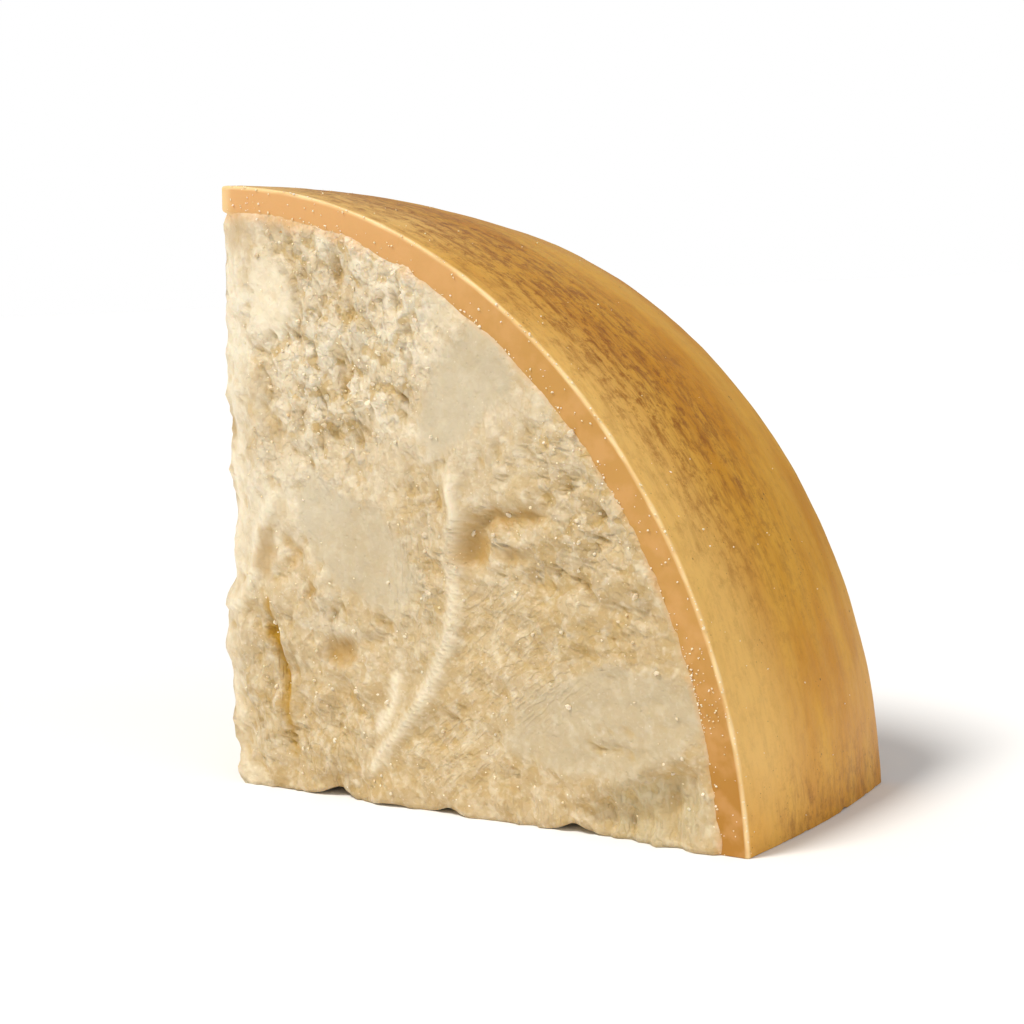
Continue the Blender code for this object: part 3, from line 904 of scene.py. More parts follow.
@dataclass(frozen=True)
class PasteFinish:
    """Aged grating-cheese paste, broken by hand: dense, waxy and slightly see-through.

    That gives the eye a soft satin surface, pale crumbs and a warm glow in its hollows, which comes partly
    from light under the surface and partly from amber shade painted into the colour.
    """

    name: str = "broken_cheese_paste"
    fresh: str = "#E7DAC0"
    cream: str = "#C0A576"
    pale: str = "#F4E8CC"
    straw: str = "#C4A97C"
    slab: str = "#C3B598"
    # The next five colours paint light and shade: shade in creases and pockets, amber shade and glow in
    # hollows and the slot, part of the margin's paleness, and the olive shade under the flutes.
    crease_shade: str = "#C29F58"
    hollow: str = "#B1873A"
    slot: str = "#B48600"
    margin: str = "#F8EDD2"
    olive_shade: str = "#B5A278"
    near_rind: str = "#DFA96A"
    crystal: str = "#FBF4E2"
    roughness: float = 0.48
    glow: float = 0.3
    glow_depth: float = 1.2
    slant_deg: float = 52.0
    fibre_width: float = 1.9
    wide_chip: float = 7.0
    small_chip: float = 3.4

    def make(self) -> bpy.types.Material:
        """Makes the material.

        Returns:
            A material that reads the vertex values "ripe", "crease", "crest", "hollow", "slot",
            "slab", "margin", "olive", "upright", "slanting", "chipped", "crumbly" and "rind".
        """
        material, tree, shader = new_material(self.name)
        places = millimetres(tree)

        # Clouds of fat and moisture some 25 mm across, and granules of 4 and 1.4 mm.
        clouds = ramped(tree, noise(tree, places, 25.0, 3.0), 0.38, 0.66, 0.6)
        granules = ramped(tree, noise(tree, places, 4.0, 1.5), 0.46, 0.72, 0.4)
        specks = ramped(tree, noise(tree, places, 1.4, 1.0), 0.56, 0.74, 0.22)
        tone = mixed(tree, stored(tree, "ripe"), colour(self.fresh), colour(self.cream))
        tone = mixed(tree, clouds, tone, colour(self.straw))
        tone = mixed(tree, granules, tone, colour(self.pale))
        tone = mixed(tree, specks, tone, colour(self.pale))

        # What parted smoothly is greyer, and the left margin is paler, partly dried paste and partly painted
        # light. Crests get a painted highlight; creases, the flutes and what lies deep get painted shade,
        # warmer and amber in the hollows.
        tone = mixed(tree, stored(tree, "slab"), tone, colour(self.slab), 0.6)
        tone = mixed(tree, stored(tree, "margin"), tone, colour(self.margin), 0.6)
        tone = mixed(tree, stored(tree, "crest_highlight"), tone, colour(self.pale), 0.85)
        tone = mixed(tree, stored(tree, "olive_shade"), tone, colour(self.olive_shade), 0.85)
        tone = mixed(tree, stored(tree, "crease_shade"), tone, colour(self.crease_shade), 0.55)
        tone = mixed(tree, stored(tree, "hollow"), tone, colour(self.hollow), 0.75)
        tone = mixed(tree, stored(tree, "rind"), tone, colour(self.near_rind))

        # Crumb stands in plateaus 6.5 mm across with knobs of 3 mm, and the pockets between them get painted
        # shade.
        crumbly = stored(tree, "crumbly")
        plateaus = ramped(tree, noise(tree, places, 6.5, 1.5, 0.5), 0.34, 0.56)
        knobs = ramped(tree, noise(tree, places, 3.0, 1.5), 0.36, 0.54)
        shaded_pockets = product(tree, ramped(tree, plateaus, 0.5, 0.1),
                          added(tree, product(tree, crumbly, 0.9), 0.1))
        tone = mixed(tree, shaded_pockets, tone, colour(self.crease_shade), 0.55)

        # Fibres some 2 mm wide, upright in places and slanting in others.
        strokes = added(tree, product(tree, self.strokes(tree, places, 0.0), stored(tree, "upright")),
                        product(tree, self.strokes(tree, places, self.slant_deg), stored(tree, "slanting")))
        # The raised fibres get a faint painted highlight.
        tone = mixed(tree, strokes, tone, colour(self.pale), 0.12)

        # The break left chips some 7 and 3.4 mm across, each with its own level, slope and tone; the higher
        # chips get a painted highlight and the lower ones painted shade.
        chipped = stored(tree, "chipped")
        ragged = self.ragged(tree, places)
        wide_chips, wide_tone = self.chips(tree, ragged, self.wide_chip)
        small_chips, small_tone = self.chips(tree, ragged, self.small_chip)
        chip_light_shade = added(tree, product(tree, wide_tone, 0.6), product(tree, small_tone, 0.4))
        chip_light_shade = ramped(tree, chip_light_shade, 0.35, 0.7)
        tone = mixed(tree, product(tree, chip_light_shade, chipped), tone, colour(self.pale), 0.22)
        shaded_chips = product(tree, ramped(tree, chip_light_shade, 0.5, 0.1), chipped)
        tone = mixed(tree, shaded_chips, tone, colour(self.crease_shade), 0.22)

        # Pin-head crystals 0.7 mm across.
        tone = mixed(tree, dots(tree, places, 3.6, 0.4), tone, colour(self.crystal), 0.25)
        # The deep slot gets painted amber shade and glow.
        tone = mixed(tree, stored(tree, "slot"), tone, colour(self.slot))
        tree.links.new(tone, shader.inputs["Base Color"])

        shader.inputs["Roughness"].default_value = self.roughness
        shader.inputs["IOR"].default_value = CHEESE_IOR
        shader.inputs["Subsurface Weight"].default_value = self.glow
        shader.inputs["Subsurface Radius"].default_value = GLOW_RADII
        shader.inputs["Subsurface Scale"].default_value = self.glow_depth * MM

        # Plateaus and knobs stand up, the grain is 2 and 0.6 mm, and small pits go in.
        large = product(tree, plateaus, added(tree, product(tree, crumbly, 1.0), 0.12))
        medium = product(tree, knobs, added(tree, product(tree, crumbly, 0.45), 0.12))
        grain = product(tree, noise(tree, places, 2.0, 1.0), 0.3)
        fine = product(tree, noise(tree, places, 0.6, 1.0), 0.06)
        pits = product(tree, dots(tree, places, 3.4, 0.5), -0.2)
        height = added(tree, added(tree, large, medium), added(tree, added(tree, grain, fine), pits))
        height = added(tree, height, product(tree, strokes, 0.45))
        chips = added(tree, product(tree, wide_chips, 1.0), product(tree, small_chips, 0.5))
        height = added(tree, height, product(tree, chips, chipped))
        tree.links.new(dent(tree, height, 0.9, 0.8), shader.inputs["Normal"])
        return material

    def ragged(self, tree: bpy.types.NodeTree, places: bpy.types.NodeSocket) -> bpy.types.NodeSocket:
        """Places shifted by up to 1.8 mm, so that the chips' outlines are ragged."""
        jitter = add_node(tree, "ShaderNodeTexNoise", {},
                          {"Vector": places, "Scale": 1.0 / 4.0, "Detail": 2.0})
        centred = add_node(tree, "ShaderNodeVectorMath", {"operation": "MULTIPLY_ADD"},
                           {0: jitter.outputs["Color"], 1: (3.6, 3.6, 3.6), 2: (-1.8, -1.8, -1.8)})
        shifted = add_node(tree, "ShaderNodeVectorMath", {"operation": "ADD"},
                           {0: places, 1: centred.outputs["Vector"]})
        return shifted.outputs["Vector"]

    def chips(
        self,
        tree: bpy.types.NodeTree,
        places: bpy.types.NodeSocket,
        size: float,
    ) -> tuple[bpy.types.NodeSocket, bpy.types.NodeSocket]:
        """Chips of a broken face.

        Args:
            tree: The material's node tree.
            places: Where to look, in millimetres.
            size: The chips' width.

        Returns:
            Their height, from about -0.5 to 1.2, and one number from 0 to 1 for each.
        """
        cells = add_node(tree, "ShaderNodeTexVoronoi", {}, {"Vector": places, "Scale": 1.0 / size})
        own = add_node(tree, "ShaderNodeSeparateColor", {}, {"Color": cells.outputs["Color"]})
        within = add_node(tree, "ShaderNodeVectorMath", {"operation": "SUBTRACT"},
                          {0: places, 1: cells.outputs["Position"]})
        lean = add_node(tree, "ShaderNodeVectorMath", {"operation": "SUBTRACT"},
                        {0: cells.outputs["Color"], 1: (0.5, 0.5, 0.5)})
        slope = add_node(tree, "ShaderNodeVectorMath", {"operation": "DOT_PRODUCT"},
                         {0: within.outputs["Vector"], 1: lean.outputs["Vector"]})
        sloping = product(tree, slope.outputs["Value"], 2.2 / size)
        height = added(tree, sloping, product(tree, own.outputs["Green"], 0.7))
        return height, own.outputs["Green"]

    def strokes(
        self,
        tree: bpy.types.NodeTree,
        places: bpy.types.NodeSocket,
        slant_deg: float,
    ) -> bpy.types.NodeSocket:
        """Short strokes drawn out along a slant from upright towards the rind, from 0 to 1."""
        turned = add_node(tree, "ShaderNodeVectorRotate", {"rotation_type": "Y_AXIS"},
                          {"Vector": places, "Angle": -math.radians(slant_deg)})
        drawn = add_node(tree, "ShaderNodeVectorMath", {"operation": "MULTIPLY"},
                         {0: turned.outputs["Vector"], 1: (1.0, 1.0, 0.28)})
        return ramped(tree, noise(tree, drawn.outputs["Vector"], self.fibre_width, 1.0), 0.42, 0.62)


@dataclass(frozen=True)
class CrumbFinish:
    """Dry loose cheese crumb: the same paste, whiter because it has dried out."""

    name: str = "dry_cheese_crumb"
    white: str = "#F8EBD2"
    cream: str = "#EAD6AE"
    roughness: float = 0.5

    def make(self) -> bpy.types.Material:
        """Makes the material."""
        material, tree, shader = new_material(self.name)
        places = millimetres(tree)
        dried = ramped(tree, noise(tree, places, 4.0), 0.4, 0.6)
        tone = mixed(tree, dried, colour(self.cream), colour(self.white))
        tree.links.new(tone, shader.inputs["Base Color"])
        shader.inputs["Roughness"].default_value = self.roughness
        shader.inputs["IOR"].default_value = CHEESE_IOR
        shader.inputs["Subsurface Weight"].default_value = 0.3
        shader.inputs["Subsurface Radius"].default_value = GLOW_RADII
        shader.inputs["Subsurface Scale"].default_value = 0.8 * MM
        return material


@dataclass(frozen=True)
class RindFinish:
    """Dry natural rind, brushed and oiled over months: tough, smooth and golden.

    That gives the eye a satin skin, brown where it was handled, with dark pin-pricks.
    """

    name: str = "oiled_natural_rind"
    golden: str = "#CC8B16"
    tan: str = "#DDA434"
    # Painted highlight: the sheen along the front edge and the top of the barrel side.
    light: str = "#EABB68"
    brown: str = "#90560A"
    speck: str = "#4E3012"
    band_light: str = "#DCA86E"
    band_middle: str = "#C3924E"
    band_deep: str = "#AF7A30"
    # The worn outer edge: partly dry whitish rind, partly a painted highlight where it is rounded.
    edge: str = "#F0D19A"
    roughness: float = 0.36

    def make(self) -> bpy.types.Material:
        """Makes the material.

        Returns:
            A material that reads the vertex values "around", "across", "band", "edge", "light" and
            "worn".
        """
        material, tree, shader = new_material(self.name)
        places = millimetres(tree)
        drawn = product(tree, stored(tree, "around"), 0.3)
        along_rind = add_node(tree, "ShaderNodeCombineXYZ", {},
                              {"X": drawn, "Y": stored(tree, "across")}).outputs["Vector"]

        # Cloudy wear some 20 mm across, drawn out round the wheel, and a painted highlight that makes it
        # paler by the front.
        tone = mixed(tree, ramped(tree, noise(tree, along_rind, 20.0, 4.0), 0.35, 0.65),
                     colour(self.golden), colour(self.tan))
        tone = mixed(tree, stored(tree, "light"), tone, colour(self.light))

        # Brown handling marks: streaks of 3.6 mm drawn out round the wheel, and mottles of 5 mm.
        worn = stored(tree, "worn")
        streaks = ramped(tree, noise(tree, along_rind, 3.6, 6.0, 0.68), 0.42, 0.68)
        mottles = ramped(tree, noise(tree, places, 5.0, 6.0, 0.78), 0.47, 0.66)
        tone = mixed(tree, worn, tone, colour(self.brown), 0.18)
        tone = mixed(tree, product(tree, streaks, worn), tone, colour(self.brown), 0.8)
        tone = mixed(tree, product(tree, mottles, worn), tone, colour(self.brown), 0.9)

        # Dark pin-pricks of 0.5 and 0.9 mm that come in drifts.
        drifts = ramped(tree, noise(tree, places, 14.0, 3.0), 0.46, 0.62)
        small = product(tree, dots(tree, places, 2.2, 0.3), drifts)
        large = product(tree, dots(tree, places, 7.0, 0.6), drifts)
        tone = mixed(tree, small, tone, colour(self.speck), 0.6)
        tone = mixed(tree, large, tone, colour(self.speck), 0.75)

        # The smooth section through the rind: paler at the top, deeper towards the base.
        height = add_node(tree, "ShaderNodeSeparateXYZ", {}, {"Vector": places}).outputs["Z"]
        band_tone = mixed(tree, ramped(tree, height, 222.0, 150.0), colour(self.band_light),
                          colour(self.band_middle))
        band_tone = mixed(tree, ramped(tree, height, 80.0, 5.0), band_tone, colour(self.band_deep))
        band_tone = mixed(tree, ramped(tree, noise(tree, places, 9.0, 3.0), 0.4, 0.65), band_tone,
                          colour(self.band_light), 0.35)
        tone = mixed(tree, stored(tree, "band"), tone, band_tone)
        # A pale line on the worn edge, partly the dry rind's own tone and partly a painted highlight.
        tone = mixed(tree, stored(tree, "edge"), tone, colour(self.edge))
        tree.links.new(tone, shader.inputs["Base Color"])

        shader.inputs["Roughness"].default_value = self.roughness
        shader.inputs["IOR"].default_value = 1.46
        shader.inputs["Specular IOR Level"].default_value = 0.22
        shader.inputs["Subsurface Weight"].default_value = 0.15
        shader.inputs["Subsurface Radius"].default_value = (1.0, 0.45, 0.15)
        shader.inputs["Subsurface Scale"].default_value = 2.0 * MM
        tree.links.new(dent(tree, noise(tree, places, 1.4, 4.0), 0.3, 0.35), shader.inputs["Normal"])
        return material


# ---------------------------------------------------------------------------------------------
# Pieces
# ---------------------------------------------------------------------------------------------


@dataclass(frozen=True)
class PasteCore:
    """The broken paste: everything inside the rind, in millimetres.

    It is two pieces that share a ring of points: the front face with its rim, and the body.
    """

    wheel: Wheel
    relief: FrontRelief
    face_cuts: int = 101
    rim_cuts: int = 22
    body_cuts: int = 74
    split_depth: float = 18.0
    under_band: float = 2.4
    into_back: float = 9.0
    edge_fall: float = 1.8
    # Small arches under the front face: place along the base, half width, height.
    arches: tuple[tuple[float, float, float], ...] = (
        (46.5, 6.0, 3.4), (100.0, 5.0, 2.2), (153.0, 6.0, 3.0), (74.0, 7.0, 1.0))

    @property
    def depth(self) -> float:
        """The paste's depth, to where it ends inside the flat-face rind."""
        return self.wheel.half_height - self.into_back

    def build_front(self, finish: bpy.types.Material) -> bpy.types.Object:
        """Builds the front face and its rim."""
        piece = gridded_cube("paste_front", (self.face_cuts, self.rim_cuts, self.face_cuts))
        self.join_hidden(piece, (1.0,))
        split = self.split_depth / self.depth
        cube = vertex_places(piece.data)
        w = graded(cube[:, 1], (0.0, 0.3, 1.0), (0.0, 0.2 * split, split))
        return self.finished(piece, w, finish)

    def build_body(self, finish: bpy.types.Material) -> bpy.types.Object:
        """Builds the rest of the paste, behind the front face."""
        piece = gridded_cube("paste_body", (self.face_cuts, self.body_cuts, self.face_cuts))
        self.join_hidden(piece, (0.0, 1.0))
        split = self.split_depth / self.depth
        return self.finished(piece, split + (1.0 - split) * vertex_places(piece.data)[:, 1], finish)

    def join_hidden(self, piece: bpy.types.Object, hidden_ends: tuple[float, ...]) -> None:
        """Joins the faces of a gridded cube that end up inside the chunk.

        Args:
            piece: The gridded cube.
            hidden_ends: Which of its ends along Y lie inside.
        """
        ends = edge_ends(piece.data)
        level = np.abs(ends[:, 0, 1] - ends[:, 1, 1]) < 1e-6
        inner = (ends[:, 0, 1] > 1e-6) & (ends[:, 0, 1] < 1.0 - 1e-6)
        under_rind = (ends[:, :, 0] > 1.0 - 1e-6).all(axis=1) | (ends[:, :, 2] > 1.0 - 1e-6).all(axis=1)
        choose(piece, "EDGE", level & inner & under_rind)
        bpy.ops.mesh.dissolve_edges(use_verts=True)
        for end in hidden_ends:
            bpy.ops.object.mode_set(mode="OBJECT")
            choose(piece, "FACE", np.abs(face_centres(piece.data)[:, 1] - end) < 1e-6)
            bpy.ops.mesh.dissolve_faces()
            bpy.ops.object.mode_set(mode="OBJECT")
            choose(piece, "EDGE", (np.abs(edge_ends(piece.data)[:, :, 1] - end) < 1e-6).all(axis=1))
            bpy.ops.mesh.mark_sharp()
        bpy.ops.object.mode_set(mode="OBJECT")

    def finished(self, piece: bpy.types.Object, w: Array, finish: bpy.types.Material) -> bpy.types.Object:
        """Shapes a gridded cube into a piece of the paste and dresses it.

        Args:
            piece: The gridded cube.
            w: The share of the depth at each of its points.
            finish: The paste's material.

        Returns:
            The finished object.
        """
        cube = vertex_places(piece.data)
        places, values = self.shape(cube[:, 0], w, cube[:, 2])
        set_vertex_places(piece.data, self.wheel.to_row(places))
        for name, numbers in values.items():
            set_vertex_value(piece.data, name, numbers)
        piece.data.materials.append(finish)
        piece.data.polygons.foreach_set("use_smooth", np.ones(len(piece.data.polygons), dtype=bool))
        return piece

    def shape(self, u: Array, w: Array, v: Array) -> tuple[Array, dict[str, Array]]:
        """Places the points of a unit cube on the paste.

        Args:
            u: Shares along X of the square that becomes the quarter circle.
            w: Shares of the depth.
            v: Shares along Z.

        Returns:
            Their places in the wheel's frame and the values that the finish reads.
        """
        wheel = self.wheel
        share = np.maximum(u, v)
        safe = np.maximum(share, 1e-9)
        angle_share = np.where(u >= v, 0.5 * v / safe, 1.0 - 0.5 * u / safe)
        angle = wheel.wedge * angle_share
        depth = w * self.depth
        band = wheel.band_width(angle_share) + self.band_wander(angle)
        outer = wheel.barrel_radius(depth) - band + self.under_band
        radius = share * outer
        x, z = radius * np.cos(angle), radius * np.sin(angle)

        on_radial = 1.0 - smooth_step(outer - 3.4, outer - 1.2, radius)
        on_radial = on_radial * (1.0 - smooth_step(wheel.half_height - 17.0, wheel.half_height - 12.0, depth))
        from_left = radius * np.sin(wheel.wedge - angle)
        left = self.radial_relief(np.stack([np.zeros_like(z), depth, z], axis=1), 301) * 0.8
        swelling = self.relief.left_swelling(z) * (0.2 + 0.8 * (1.0 - w) ** 2)
        push = (swelling + left) * on_radial - 0.4 * (1.0 - on_radial)
        push = push * np.clip(1.0 - from_left / 26.0, 0.0, 1.0)
        rise = self.base_recess(x, depth) * on_radial + 0.4 * (1.0 - on_radial)
        rise = rise * np.clip(1.0 - z / 22.0, 0.0, 1.0)
        x = x - push * math.sin(wheel.wedge)
        z = np.maximum(z + push * math.cos(wheel.wedge), 0.0) + rise

        to_rind = outer - self.under_band - radius
        front = self.relief.level(x, z, to_rind)
        edge = outer - self.under_band
        rim = smooth_step(edge - self.edge_fall * 0.5, edge + self.edge_fall, radius)
        lowered = front * (1.0 - rim) - 2.2 * rim
        y = depth + (1.0 - w) * (wheel.front_plane(z) - lowered)
        return np.stack([x, y, z], axis=1), self.values(x, z, w, front, to_rind, angle_share)

    def band_wander(self, angle: Array) -> Array:
        """How far the paste's edge strays from the rind's even width, from -1 to 1 mm or so."""
        around = np.stack([angle * self.wheel.radius, np.zeros_like(angle), np.zeros_like(angle)], axis=1)
        return rough_noise(around, 17.0, 521) * 0.9 + nuggets(around, 3.4, 531, 18.0, 0.2, 0.6) * 0.45

    def values(
        self,
        x: Array,
        z: Array,
        w: Array,
        front: Array,
        to_rind: Array,
        angle_share: Array,
    ) -> dict[str, Array]:
        """Works out what the finish reads at each vertex.

        Args:
            x: Places along the base.
            z: Heights.
            w: Shares of the depth.
            front: Levels of the front face.
            to_rind: Distances to the rind's smooth section.
            angle_share: Shares of the wedge's angle.

        Returns:
            Named values, one for each vertex.
        """
        points = np.stack([x, w * 100.0, z], axis=1)
        on_front = 1.0 - smooth_step(0.0, 0.04, w)
        near, wide = self.smoothed()
        below_near = near.at(x, z) - front
        below_wide = wide.at(x, z) - front
        uneven = rough_noise(points, 7.0, 501)
        olive_shade = 1.0 - smooth_step(0.5, 1.1, self.relief.olive_shade.reach(x, z))
        # Painted shade, warm and amber, where the face lies deep below its smoothed relief.
        deep_shade = smooth_step(0.8, 3.0, below_wide + uneven * 0.6) * 0.6
        slab, crest_highlight = self.relief.slab_share(x, z), self.relief.crest_share(x, z, 0.9)
        margin = self.relief.margin_share(x, z) ** 0.6 * (0.85 + 0.15 * smooth_step(55.0, 90.0, z))
        margin = np.maximum(margin, 0.9 - 0.9 * smooth_step(0.7, 1.2, self.relief.slabs[0].reach(x, z)))
        low_left = (1.0 - smooth_step(15.0, 50.0, x)) * (1.0 - smooth_step(60.0, 90.0, z))
        tanned = self.relief.tanned
        in_tanned = 1.0 - smooth_step(0.5, 1.2, tanned.reach(x, z))
        ripe = x * 0.55 + (220.0 - z) * 0.75 + 50.0 * low_left + tanned.amount * in_tanned
        crumbly = np.clip(self.relief.crumble_strength(x, z), 0.0, 1.0)
        calm = np.maximum(self.relief.crest_share(x, z, 1.5) * 0.8, self.relief.shaded_glow_share(x, z))
        crumbly = crumbly * (1.0 - 0.8 * slab) * (1.0 - 0.8 * calm) * (1.0 - 0.5 * margin)
        top_left = smooth_step(0.66, 0.96, angle_share)
        from_rind = to_rind + uneven * (1.0 + 2.0 * top_left)
        near_rind = 1.0 - smooth_step(0.3 + top_left, 1.6 + 5.0 * top_left, from_rind)
        chipped = (0.35 + 0.65 * crumbly) * (1.0 - 0.75 * slab) * (1.0 - 0.85 * calm)
        # The creases, hollows, flutes and slot get painted shade, the crests a painted highlight, and the
        # left margin is partly painted light.
        return {
            "crease_shade": smooth_step(0.1, 1.1, below_near) * on_front,
            "crest_highlight": crest_highlight * on_front,
            "hollow": np.maximum(deep_shade * (1.0 - olive_shade), self.relief.shaded_glow_share(x, z)) * on_front,
            "crumbly": crumbly * on_front + 0.5 * (1.0 - on_front),
            "chipped": chipped * (1.0 - 0.4 * margin),
            "slot": self.relief.slot_glow_share(x, z) * on_front,
            "slab": slab * smooth_step(50.0, 100.0, ripe) * on_front,
            "margin": margin * on_front,
            "olive_shade": olive_shade * on_front,
            "upright": self.relief.drawn_share(x, z, False) * (1.0 - calm) * on_front,
            "slanting": self.relief.drawn_share(x, z, True) * (1.0 - calm) * on_front,
            "ripe": smooth_step(60.0, 210.0, ripe),
            "rind": near_rind * 0.6,
        }

    def smoothed(self) -> tuple[SmoothedRelief, SmoothedRelief]:
        """The front face's relief with lumps under some 5 mm, and under some 20 mm, taken out."""
        columns, rows = np.arange(-16.0, 226.0), np.arange(-4.0, 226.0)
        x, z = (grid.ravel() for grid in np.meshgrid(columns, rows))
        far = np.full(len(x), 50.0)
        heights = self.relief.level(x, z, far).reshape(len(rows), len(columns))
        start = (columns[0], rows[0])
        return SmoothedRelief.of(heights, start, 2.2), SmoothedRelief.of(heights, start, 8.0)

    def radial_relief(self, points: Array, seed: int) -> Array:
        """Broken relief of a radial face, either side of its plane."""
        near = warp(points, 8.0, 2.4, seed)
        swell = rough_noise(points, 48.0, seed + 4) * 2.6
        lumps = nuggets(points + near, 12.0, seed + 8) * 0.9
        crumb = nuggets(points + near, 5.0, seed + 10, 18.0, 0.35, 1.0) * 0.5
        crumb = crumb + nuggets(points + near, 2.8, seed + 11, 16.0, 0.3, 0.8) * 0.3
        return swell + lumps + folded_noise(points + near, 15.0, seed + 9) * 0.9 + crumb

    def base_recess(self, x: Array, y: Array) -> Array:
        """How far the underside is hollow above the surface it stands on; 0 where it stands."""
        points = np.stack([x, y, np.zeros_like(x)], axis=1)
        from_front = smooth_step(2.0, 24.0, y)
        recess = np.maximum(self.radial_relief(points, 201) + 0.6, 0.0) * (0.15 + 0.85 * from_front)
        for place, half_width, height in self.arches:
            recess = recess + height * (1.0 - from_front) * np.exp(-(((x - place) / half_width) ** 2))
        return recess


@dataclass(frozen=True)
class Rind:
    """The rind: its smooth section round the front, the barrel side and the wheel's flat face."""

    wheel: Wheel
    name: str = "rind"
    cuts: tuple[int, int, int] = (76, 101, 101)
    front_edge_round: float = 0.9
    left_edge_round: float = 3.6
    left_swelling: float = 5.0
    corner_round: float = 3.2
    under_paste: float = 6.0
    sink: float = 1.2
    floor_depth: float = 15.0

    def build(self, finish: bpy.types.Material) -> bpy.types.Object:
        """Builds the piece.

        Args:
            finish: The rind's material.

        Returns:
            The finished object.
        """
        piece = gridded_cube(self.name, self.cuts)
        hidden_s = 1.0 - (self.wheel.band_at_base + self.under_paste + 4.0) / self.wheel.radius
        hidden_w = 1.0 - (self.wheel.band_at_base + self.under_paste + 4.0) / self.wheel.half_height
        for axis, end in ((1, 0.0), (2, 0.0), (2, 1.0)):
            centres = face_centres(piece.data)
            s, w, _ = self.shares(centres)
            covered = (np.abs(centres[:, axis] - end) < 1e-6) & (s < hidden_s)
            if axis == 2:
                covered = covered & (w < hidden_w)
            choose(piece, "FACE", covered)
            bpy.ops.mesh.dissolve_faces()
            bpy.ops.object.mode_set(mode="OBJECT")
        places, values = self.shape(vertex_places(piece.data))
        set_vertex_places(piece.data, self.wheel.to_row(places))
        for name, numbers in values.items():
            set_vertex_value(piece.data, name, numbers)
        choose(piece, "VERT", np.ones(len(piece.data.vertices), dtype=bool))
        bpy.ops.mesh.remove_doubles(threshold=0.01 * MM)
        bpy.ops.mesh.normals_make_consistent(inside=False)
        bpy.ops.object.mode_set(mode="OBJECT")
        piece.data.materials.append(finish)
        bpy.ops.object.shade_smooth_by_angle(angle=math.radians(40.0))
        return piece

    def shares(self, cube: Array) -> tuple[Array, Array, Array]:
        """Spaces a unit cube's points: shares of the radius, the depth and the angle."""
        s = graded(cube[:, 0], (0.0, 0.66, 1.0), (0.0, 0.91, 1.0))
        w = graded(cube[:, 1], (0.0, 0.1, 0.82, 1.0), (0.0, 0.05, 0.85, 1.0))
        a = graded(cube[:, 2], (0.0, 0.02, 0.975, 1.0), (0.0, 0.012, 0.985, 1.0))
        return s, w, a

    def shape(self, cube: Array) -> tuple[Array, dict[str, Array]]:
        """Places the points of a unit cube on the rind.

        Args:
            cube: Points whose X spans the radius, Y the depth and Z the angle.

        Returns:
            Their places in the wheel's frame and the values that the finish reads.
        """
        wheel = self.wheel
        s, w, a = self.shares(cube)
        y = w * wheel.half_height
        outer = wheel.barrel_radius(y)
        radius = s * outer
        from_side = outer - radius
        angle = a * wheel.wedge
        on_front = cube[:, 1] < 1e-6
        on_side = cube[:, 0] > 1.0 - 1e-6
        on_base = cube[:, 2] < 1e-6
        on_left = cube[:, 2] > 1.0 - 1e-6
        around = np.stack([angle * wheel.radius, y, np.zeros_like(y)], axis=1)

        # The edge between the smooth section and the barrel side is worn round.
        rounding = self.front_edge_round * (1.0 + 0.5 * rough_noise(around, 11.0, 631))
        du = np.clip(rounding - from_side, 0.0, rounding)
        dv = np.clip(rounding - y, 0.0, rounding)
        both = (du > 0) & (dv > 0)
        shrink = np.minimum(rounding / np.maximum(np.hypot(du, dv), 1e-9), 1.0)
        radius = np.where(both, outer - rounding + du * shrink, radius)
        y = np.where(both, rounding - dv * shrink, y)

        # The corner at the top left is worn round too.
        from_left = (1.0 - a) * wheel.wedge * wheel.radius
        short = np.clip(self.corner_round - from_left, 0.0, self.corner_round)
        worn_off = self.corner_round - np.sqrt(self.corner_round**2 - short**2)
        radius = radius - worn_off * np.clip(1.0 - from_side / 8.0, 0.0, 1.0)

        # Behind the paste the rind falls away, first a little and then to its floor.
        past_front = from_side - wheel.band_width(a)
        y = y + self.fall(past_front) * np.clip(1.0 - y / 45.0, 0.0, 1.0)
        past_radial = np.minimum(past_front, (wheel.half_height - y) - wheel.band_at_base)
        inset = self.fall(past_radial)
        x, z = radius * np.cos(angle), radius * np.sin(angle)
        z = z + np.where(on_base, inset, 0.0)
        x = x + np.where(on_left, inset * math.sin(wheel.wedge), 0.0)
        z = z - np.where(on_left, inset * math.cos(wheel.wedge), 0.0)
        # By the wheel's axis, where the two broken faces meet, it stays inside both of them.
        by_axis = inset * (1.0 - smooth_step(0.0, 0.1, s))
        x = x + np.where(on_left, 0.0, by_axis)
        z = z + np.where(on_base, 0.0, by_axis)
        swelling = self.left_swelling * np.clip(1.0 - (1.0 - a) * wheel.wedge * radius / 30.0, 0.0, 1.0)
        swelling = swelling * np.clip(1.0 - y / 60.0, 0.0, 1.0) * (1.0 - smooth_step(0.2, 2.5, past_front))
        x = x - swelling * math.sin(wheel.wedge)
        z = z + swelling * math.cos(wheel.wedge)

        # The front edge of the left end is rounder, because it dried and was rubbed there.
        short = np.clip(self.left_edge_round - from_left, 0.0, self.left_edge_round)
        drawn_back = self.left_edge_round - np.sqrt(np.maximum(self.left_edge_round**2 - short**2, 0.0))
        y = y + drawn_back * np.clip(1.0 - y / 14.0, 0.0, 1.0)
        y = y + np.clip(1.0 - w, 0.0, 1.0) * wheel.front_plane(z)

